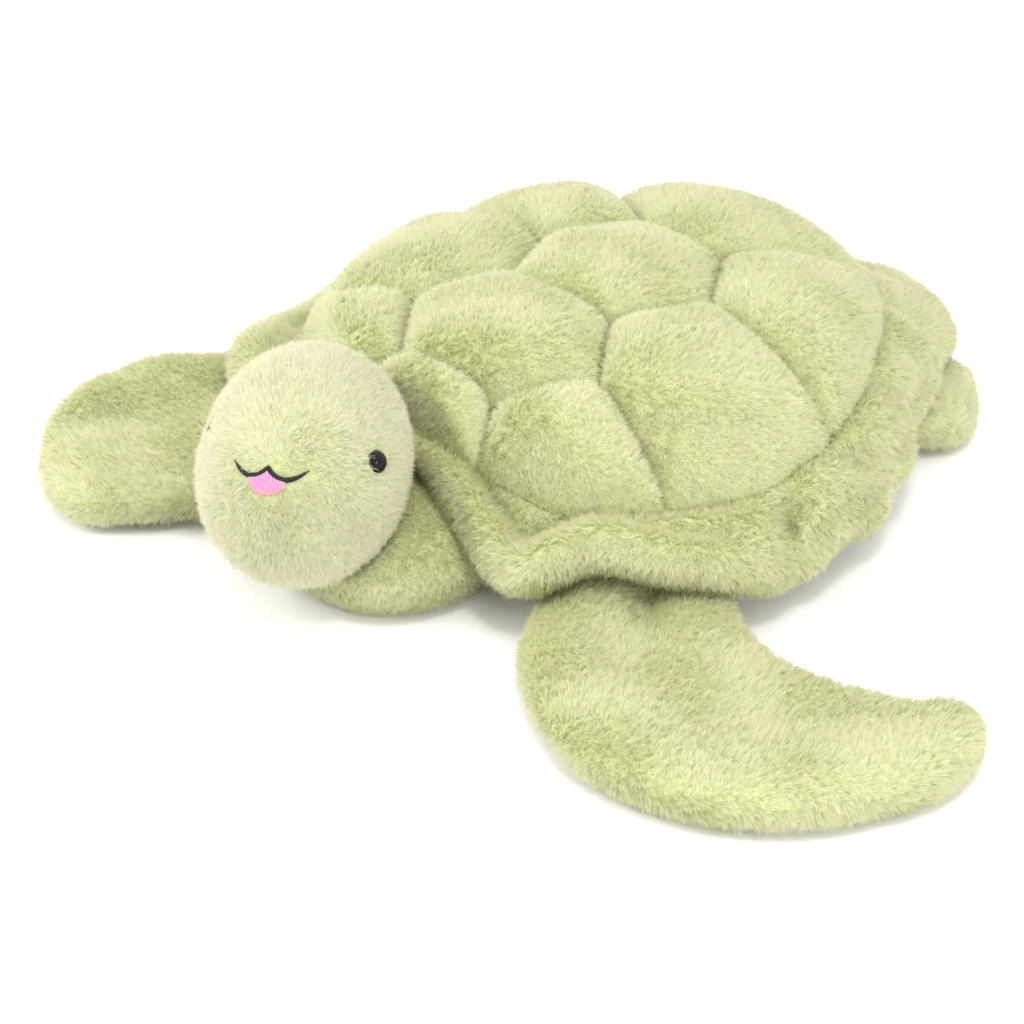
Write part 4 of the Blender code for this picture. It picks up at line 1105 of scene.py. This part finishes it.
def comb_head(points, normals):
    """Combs from a parting at the top of the smile outwards, back over the head and down the cheeks, and away
    from each eye."""
    parting, _ = face_hit(np.array([PARTING_AZIMUTH]), np.array([PARTING_ELEVATION]))
    comb = unit(points - parting[0]) + np.array((0, 0.2, -0.35))
    for eye in eye_places():
        comb = comb + unit(points - eye) * EYE_COMB_WEIGHT * nearness(points, eye[None], EYE_COMB_RANGE)[..., None]
    return comb


def clear_of_face(points):
    """Keeps hairs out of the embroidery and off the eyes."""
    share = np.linspace(-1, 1, 41)
    mouth, _ = face_hit(*mouth_angles(share))
    room = 1.3 * MM * np.sqrt(1.001 - np.abs(share) ** 2.2) + 0.4 * MM
    near_mouth = (np.linalg.norm(points[:, None] - mouth[None], axis=-1) < room[None]).any(1)
    patch, _ = tongue_grid(9, 6)
    near_tongue = (np.linalg.norm(points[:, None] - patch.reshape(-1, 3)[None], axis=-1) < 0.9 * MM).any(1)
    eye_distance = np.linalg.norm(points[:, None] - eye_places()[None], axis=-1)
    near_eye = (eye_distance < EYE_CLEARANCE).any(1)
    return ~(near_mouth | near_tongue | near_eye)


def make_head():
    grid = head_grid()
    share = np.ones(grid.shape[:2])
    share[grid[..., 2] < 0.026] = 0.4
    mouth, _ = face_hit(*mouth_angles(np.linspace(-1, 1, 9)))
    tongue = tongue_grid(5, 4)[0].reshape(-1, 3)
    near_face = np.maximum(nearness(grid, mouth, 5 * MM), nearness(grid, tongue, 4 * MM))
    length = 0.92 - 0.50 * near_face - 0.45 * nearness(grid, eye_places(), 5 * MM)
    nodes = ["head_cover", "head_filling"]
    dress("head", grid, comb_head, share, 70, "head", nodes, "plush_pale", length, 1.28, clear_of_face)


class TURTLE_OT_head(bpy.types.Operator):
    """Makes the head."""

    bl_idname = "turtle.head"
    bl_label = "Head"

    def execute(self, context):
        make_head()
        return {"FINISHED"}


def tongue_grid(columns=40, rows=24):
    """The tongue's patch: from the smile's line down to a half round edge, as a grid of points and
    normals."""
    end_share = TONGUE_HALF_ANGLE / MOUTH_HALF_ANGLE
    share = np.linspace(-1, 1, columns)[:, None]
    down = np.linspace(0, 1, rows)[None, :]
    azimuth, top = mouth_angles(share * end_share)
    _, corner = mouth_angles(np.array([end_share]))
    bottom = corner[0] - TONGUE_DEPTH_ANGLE * np.sqrt(np.maximum(1 - share**2, 0))
    elevation = top + (bottom - top) * down
    return face_hit(azimuth + 0 * elevation, elevation)


def patch_object(name, points, uv, material, edge=None):
    """An open patch on a grid, with its own map for the stitches and, where wanted, how near its edge each
    point is."""
    rows, columns, _ = points.shape
    index = np.arange(rows * columns).reshape(rows, columns)
    quads = np.stack([index[:-1, :-1], index[1:, :-1], index[1:, 1:], index[:-1, 1:]], -1).reshape(-1, 4)
    mesh = bpy.data.meshes.new(name)
    mesh.from_pydata(points.reshape(-1, 3), [], quads.tolist())
    layer = mesh.uv_layers.new(name="stitch")
    layer.uv.foreach_set("vector", uv.reshape(-1, 2)[quads.reshape(-1)].reshape(-1).astype(np.float32))
    if edge is not None:
        mesh.attributes.new("edge", "FLOAT", "POINT").data.foreach_set("value", edge.reshape(-1).astype(np.float32))
    mesh.shade_smooth()
    return add_object(name, mesh, material)


def make_mouth():
    """The smile: a raised band along its line, thin at its ends, its height a half round of its width."""
    face = bpy.context.scene.turtle_face
    share = np.linspace(-1, 1, 161)
    line, normal = face_hit(*mouth_angles(share))
    along = unit(np.gradient(line, axis=0))
    side = np.cross(normal, along)
    half = face.mouth_width / 2 * (0.08 + 0.92 * np.maximum(1 - np.abs(share) ** 2.6, 0) ** 0.8)
    turn = np.linspace(0, FULL_TURN, 20, endpoint=False)
    spread = np.cos(turn)[None, :, None] * half[:, None, None] * side[:, None]
    lift = np.sin(turn)[None, :, None] * (0.8 * MM) * (half / half.max())[:, None, None] ** 0.5 * normal[:, None]
    grid = with_poles(line[:, None] + normal[:, None] * 0.6 * MM + spread + lift)
    band = skin_object("mouth_line_satin", grid, satin_stitch("rayon_satin_stitch_charcoal", face.line_colour[:]))
    length = np.concatenate([[0], np.linalg.norm(np.diff(line, axis=0), axis=1).cumsum()])
    stitch_map(band, line, length)
    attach(band, "head")
    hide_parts("mouth_line")


def stitch_map(obj, line, length):
    """A map whose first coordinate is the length along a line at each point's nearest place on it."""
    mesh = obj.data
    co = np.empty(len(mesh.vertices) * 3, np.float32)
    mesh.vertices.foreach_get("co", co)
    co = co.reshape(-1, 3)
    nearest = np.linalg.norm(co[:, None] - line[None], axis=-1).argmin(1)
    corners = np.empty(len(mesh.loops), np.int32)
    mesh.loops.foreach_get("vertex_index", corners)
    uv = np.stack([length[nearest], co[:, 2]], -1)[corners]
    layer = mesh.uv_layers.new(name="stitch")
    layer.uv.foreach_set("vector", uv.reshape(-1).astype(np.float32))


def make_tongue():
    """The tongue: threads laid on a slant over the patch, which swells to its middle, with a warm outline."""
    face = bpy.context.scene.turtle_face
    points, normals = tongue_grid()
    share = np.linspace(-1, 1, points.shape[0])[:, None]
    down = np.linspace(0, 1, points.shape[1])[None, :]
    swell = (1 - share**4) * np.sqrt(np.maximum(1 - down**4, 0))
    swell = swell * np.minimum(down / 0.3, 1)
    raised = points + normals * (0.3 * MM + 1.1 * MM * swell)[..., None]
    rim = np.maximum(np.abs(share) ** 6 * np.ones_like(down), down**9)
    centre = points.reshape(-1, 3).mean(0)
    axis = unit(np.cross(normals.mean((0, 1)), (0, 0, 1)))
    uv = np.stack([(points - centre) @ axis, (points - centre)[..., 2]], -1)
    material = satin_stitch("rayon_satin_stitch_pink", face.tongue_colour[:], face.tongue_edge_colour[:], 0.5)
    patch = patch_object("tongue_satin", raised, uv, material, rim)
    wall = patch.modifiers.new("thread thickness", "SOLIDIFY")
    wall.thickness = 0.5 * MM
    wall.offset = -1
    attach(patch, "head")
    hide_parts("tongue_patch")


def make_eyes():
    """Domed eyes: a cap of a ball, turned from its top to its foot and on round its rim to a flat back."""
    face = bpy.context.scene.turtle_face
    radius = face.eye_radius
    for azimuth, prefix, sunk in ((EYE_AZIMUTH, "left", 0.3 * MM), (RIGHT_EYE_AZIMUTH, "right", 2.4 * MM)):
        point, normal = face_hit(np.array([azimuth]), np.array([EYE_ELEVATION]))
        point, normal = point[0], normal[0]
        across = unit(np.cross(normal, (0, 0, 1)))
        up = np.cross(across, normal)
        polar = np.linspace(0.02, math.pi / 2, 24)
        out = np.concatenate([np.sin(polar), [1.0, 0.9, 0.3]]) * radius
        rise = np.concatenate([np.cos(polar) * 0.80, [-0.12, -0.3, -0.3]]) * radius
        turn = np.linspace(0, FULL_TURN, 48, endpoint=False)
        ring = np.cos(turn)[:, None] * across + np.sin(turn)[:, None] * up
        grid = point + out[:, None, None] * ring[None] + rise[:, None, None] * normal
        eye = skin_object(f"{prefix}_eye_dome", with_poles(grid - normal * sunk), polished_eye())
        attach(eye, "head")
        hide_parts(f"{prefix}_eye")
        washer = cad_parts[f"{prefix}_eye_washer"]
        for holder in washer.material_slots:
            holder.material = moulded_washer()


class TURTLE_OT_face(bpy.types.Operator):
    """Makes the eyes, the smile and the tongue."""

    bl_idname = "turtle.face"
    bl_label = "Face"

    def execute(self, context):
        make_eyes()
        make_mouth()
        make_tongue()
        return {"FINISHED"}


# Flippers


def flipper_grid(hinge, stations, length, thickness, hollows, tip_share, rows=70, columns=56):
    """Sections from root to tip, read smoothly between the stations: each is a squared ellipse between its
    front and rear edges. Past the last station the sections shrink as a quarter circle does, to round the
    tip. Each hollow lowers the top by a bell curve across times one along."""
    point, out, seam = hinge
    count = len(stations)
    table = read_along(np.array(stations), np.linspace(0, count - 1, rows))
    front_u, front_v, rear_u, rear_v, front_z, rear_z, depth = table.T

    def place(u, v, z):
        plan = point + (out * u[:, None] + seam * v[:, None]) * length
        return np.concatenate([plan, (z * thickness)[:, None]], -1)

    front, rear = place(front_u, front_v, front_z), place(rear_u, rear_v, rear_z)
    middle, across = (front + rear) / 2, (rear - front) / 2
    half = depth * thickness / 2
    tip_turn = np.linspace(0, math.pi / 2, 20)[1:]
    run = unit(middle[-1] - middle[-4]) * np.linalg.norm(across[-1]) * tip_share
    middle = np.concatenate([middle, middle[-1] + np.sin(tip_turn)[:, None] * run])
    across = np.concatenate([across, np.cos(tip_turn)[:, None] * across[-1]])
    half = np.concatenate([half, np.sqrt(np.cos(tip_turn)) * half[-1]])
    turn = np.linspace(0, FULL_TURN, columns, endpoint=False)
    spread = np.sign(np.cos(turn)) * np.abs(np.cos(turn)) ** SECTION_SQUARE_SHARE
    rise = np.sign(np.sin(turn)) * np.abs(np.sin(turn)) ** SECTION_SQUARE_SHARE
    grid = middle[:, None] + across[:, None] * spread[None, :, None]
    grid[..., 2] += half[:, None] * rise[None]
    step = np.linspace(0, 1, len(grid))[:, None]
    for across_place, across_width, along_place, along_width, depth in hollows:
        hollow = bump_at(spread[None], across_place, across_width) * bump_at(step, along_place, along_width)
        grid[..., 2] -= thickness * depth * hollow * np.maximum(rise, 0)[None]
    grid[..., 2] = np.maximum(grid[..., 2], UNDERSIDE_HEIGHT)
    return with_poles(grid)


def dress_flipper(name, grid, hinge, seed):
    point, out, _ = hinge
    share = np.ones(grid.shape[:2])
    share[grid[..., 2] < UNDERSIDE_HEIGHT + 0.5 * MM] = 0.6
    share[:6] = 0
    start = (*point, 0.0)
    end = (*(point + out * 18 * MM), 0.0)
    comb_tip = grid[-1].mean(0)

    def comb(points, normals):
        return unit(comb_tip - points) + np.array((0, 0, -0.35))

    nodes = [f"{name}_cover", f"{name}_filling"]
    holder = ("body", name, start, end)
    dress(name, grid, comb, share, seed, holder, nodes)


def make_flippers():
    left = flipper_grid(front_hinge(1), LEFT_FRONT_SHARES, FRONT_LENGTH, FRONT_THICKNESS, LEFT_FRONT_HOLLOWS, 1.0)
    dress_flipper("left_front_flipper", left, front_hinge(1), 80)
    right = flipper_grid(front_hinge(-1), RIGHT_FRONT_SHARES, FRONT_LENGTH, FRONT_THICKNESS, RIGHT_FRONT_HOLLOWS, 0.72)
    dress_flipper("right_front_flipper", right, front_hinge(-1), 81)
    for side, prefix in ((1, "left"), (-1, "right")):
        grid = flipper_grid(rear_hinge(side), REAR_SHARES, REAR_LENGTH, REAR_THICKNESS, (), 0.7, 50, 44)
        dress_flipper(f"{prefix}_rear_flipper", grid, rear_hinge(side), 84 + side)


class TURTLE_OT_flippers(bpy.types.Operator):
    """Makes the four flippers."""

    bl_idname = "turtle.flippers"
    bl_label = "Flippers"

    def execute(self, context):
        make_flippers()
        return {"FINISHED"}


# Studio

CAMERA_TARGET = Vector((0.063, -0.132, 0.038))


def add_softbox(name, place, target, size, power):
    """A square softbox that faces a point."""
    light = bpy.data.lights.new(name, "AREA")
    light.shape = "SQUARE"
    light.size = size
    light.energy = power
    obj = bpy.data.objects.new(name, light)
    obj.location = place
    obj.rotation_euler = (target - Vector(place)).to_track_quat("-Z", "Y").to_euler()
    bpy.context.scene.collection.objects.link(obj)


def make_studio():
    studio = bpy.context.scene.turtle_studio
    flat = math.cos(studio.elevation)
    away = Vector((math.sin(studio.azimuth) * flat, -math.cos(studio.azimuth) * flat, math.sin(studio.elevation)))
    camera = bpy.data.cameras.new("camera")
    camera.lens = studio.lens
    camera.sensor_width = 36
    camera.clip_start = 0.01
    holder = bpy.data.objects.new("camera", camera)
    holder.location = CAMERA_TARGET + away * studio.distance
    holder.rotation_euler = away.to_track_quat("Z", "Y").to_euler()
    bpy.context.scene.collection.objects.link(holder)
    bpy.context.scene.camera = holder
    mesh = bpy.data.meshes.new("backdrop")
    side = 6.0
    mesh.from_pydata([(-side, -side, 0), (side, -side, 0), (side, side, 0), (-side, side, 0)], [], [(0, 1, 2, 3)])
    add_object("backdrop", mesh, backdrop_paper())
    world = bpy.data.worlds.new("studio")
    world.use_nodes = True
    background = world.node_tree.nodes["Background"]
    background.inputs["Color"].default_value = (1, 1, 1, 1)
    background.inputs["Strength"].default_value = 1.24
    bpy.context.scene.world = world
    middle = Vector((0.0, -0.05, 0.03))
    add_softbox("top_softbox", (-0.5, 0.5, 1.7), middle, 1.4, 3)
    add_softbox("front_softbox", (-0.7, -1.5, 1.2), middle, 0.7, 15)
    add_softbox("upper_key_softbox", (0.62, -0.45, 1.35), middle, 0.22, 6)
    add_softbox("lower_key_softbox", (1.30, -0.42, 0.60), middle, 0.22, 5)
    bpy.context.scene.view_settings.view_transform = "Standard"


class TURTLE_OT_studio(bpy.types.Operator):
    """Makes the camera, the lights and the backdrop."""

    bl_idname = "turtle.studio"
    bl_label = "Studio"

    def execute(self, context):
        make_studio()
        return {"FINISHED"}


class TURTLE_PT_panel(bpy.types.Panel):
    """Lists the turtle's pieces and settings."""

    bl_idname = "TURTLE_PT_panel"
    bl_label = "Plush Turtle"
    bl_space_type = "VIEW_3D"
    bl_region_type = "UI"
    bl_category = "Plush Turtle"

    def draw(self, context):
        for operator in OPERATORS:
            self.layout.operator(operator.bl_idname)
        for settings in (context.scene.turtle_fur, context.scene.turtle_face, context.scene.turtle_studio):
            box = self.layout.box()
            for name in settings.bl_rna.properties.keys():
                if name not in ("rna_type", "name"):
                    box.prop(settings, name)


SETTINGS = {"turtle_fur": FurSettings, "turtle_face": FaceSettings, "turtle_studio": StudioSettings}
OPERATORS = (
    TURTLE_OT_pads,
    TURTLE_OT_brim,
    TURTLE_OT_belly,
    TURTLE_OT_head,
    TURTLE_OT_face,
    TURTLE_OT_flippers,
    TURTLE_OT_studio,
)


def register():
    for kind in (*SETTINGS.values(), *OPERATORS, TURTLE_PT_panel):
        bpy.utils.register_class(kind)
    for name, kind in SETTINGS.items():
        setattr(bpy.types.Scene, name, bpy.props.PointerProperty(type=kind))


def unregister():
    for name in SETTINGS:
        delattr(bpy.types.Scene, name)
    for kind in (TURTLE_PT_panel, *OPERATORS, *SETTINGS.values()):
        bpy.utils.unregister_class(kind)


def main():
    register()
    bpy.ops.turtle.pads()
    bpy.ops.turtle.brim()
    bpy.ops.turtle.belly()
    bpy.ops.turtle.head()
    bpy.ops.turtle.face()
    bpy.ops.turtle.flippers()
    bpy.ops.turtle.studio()


if __name__ == "__main__":
    main()
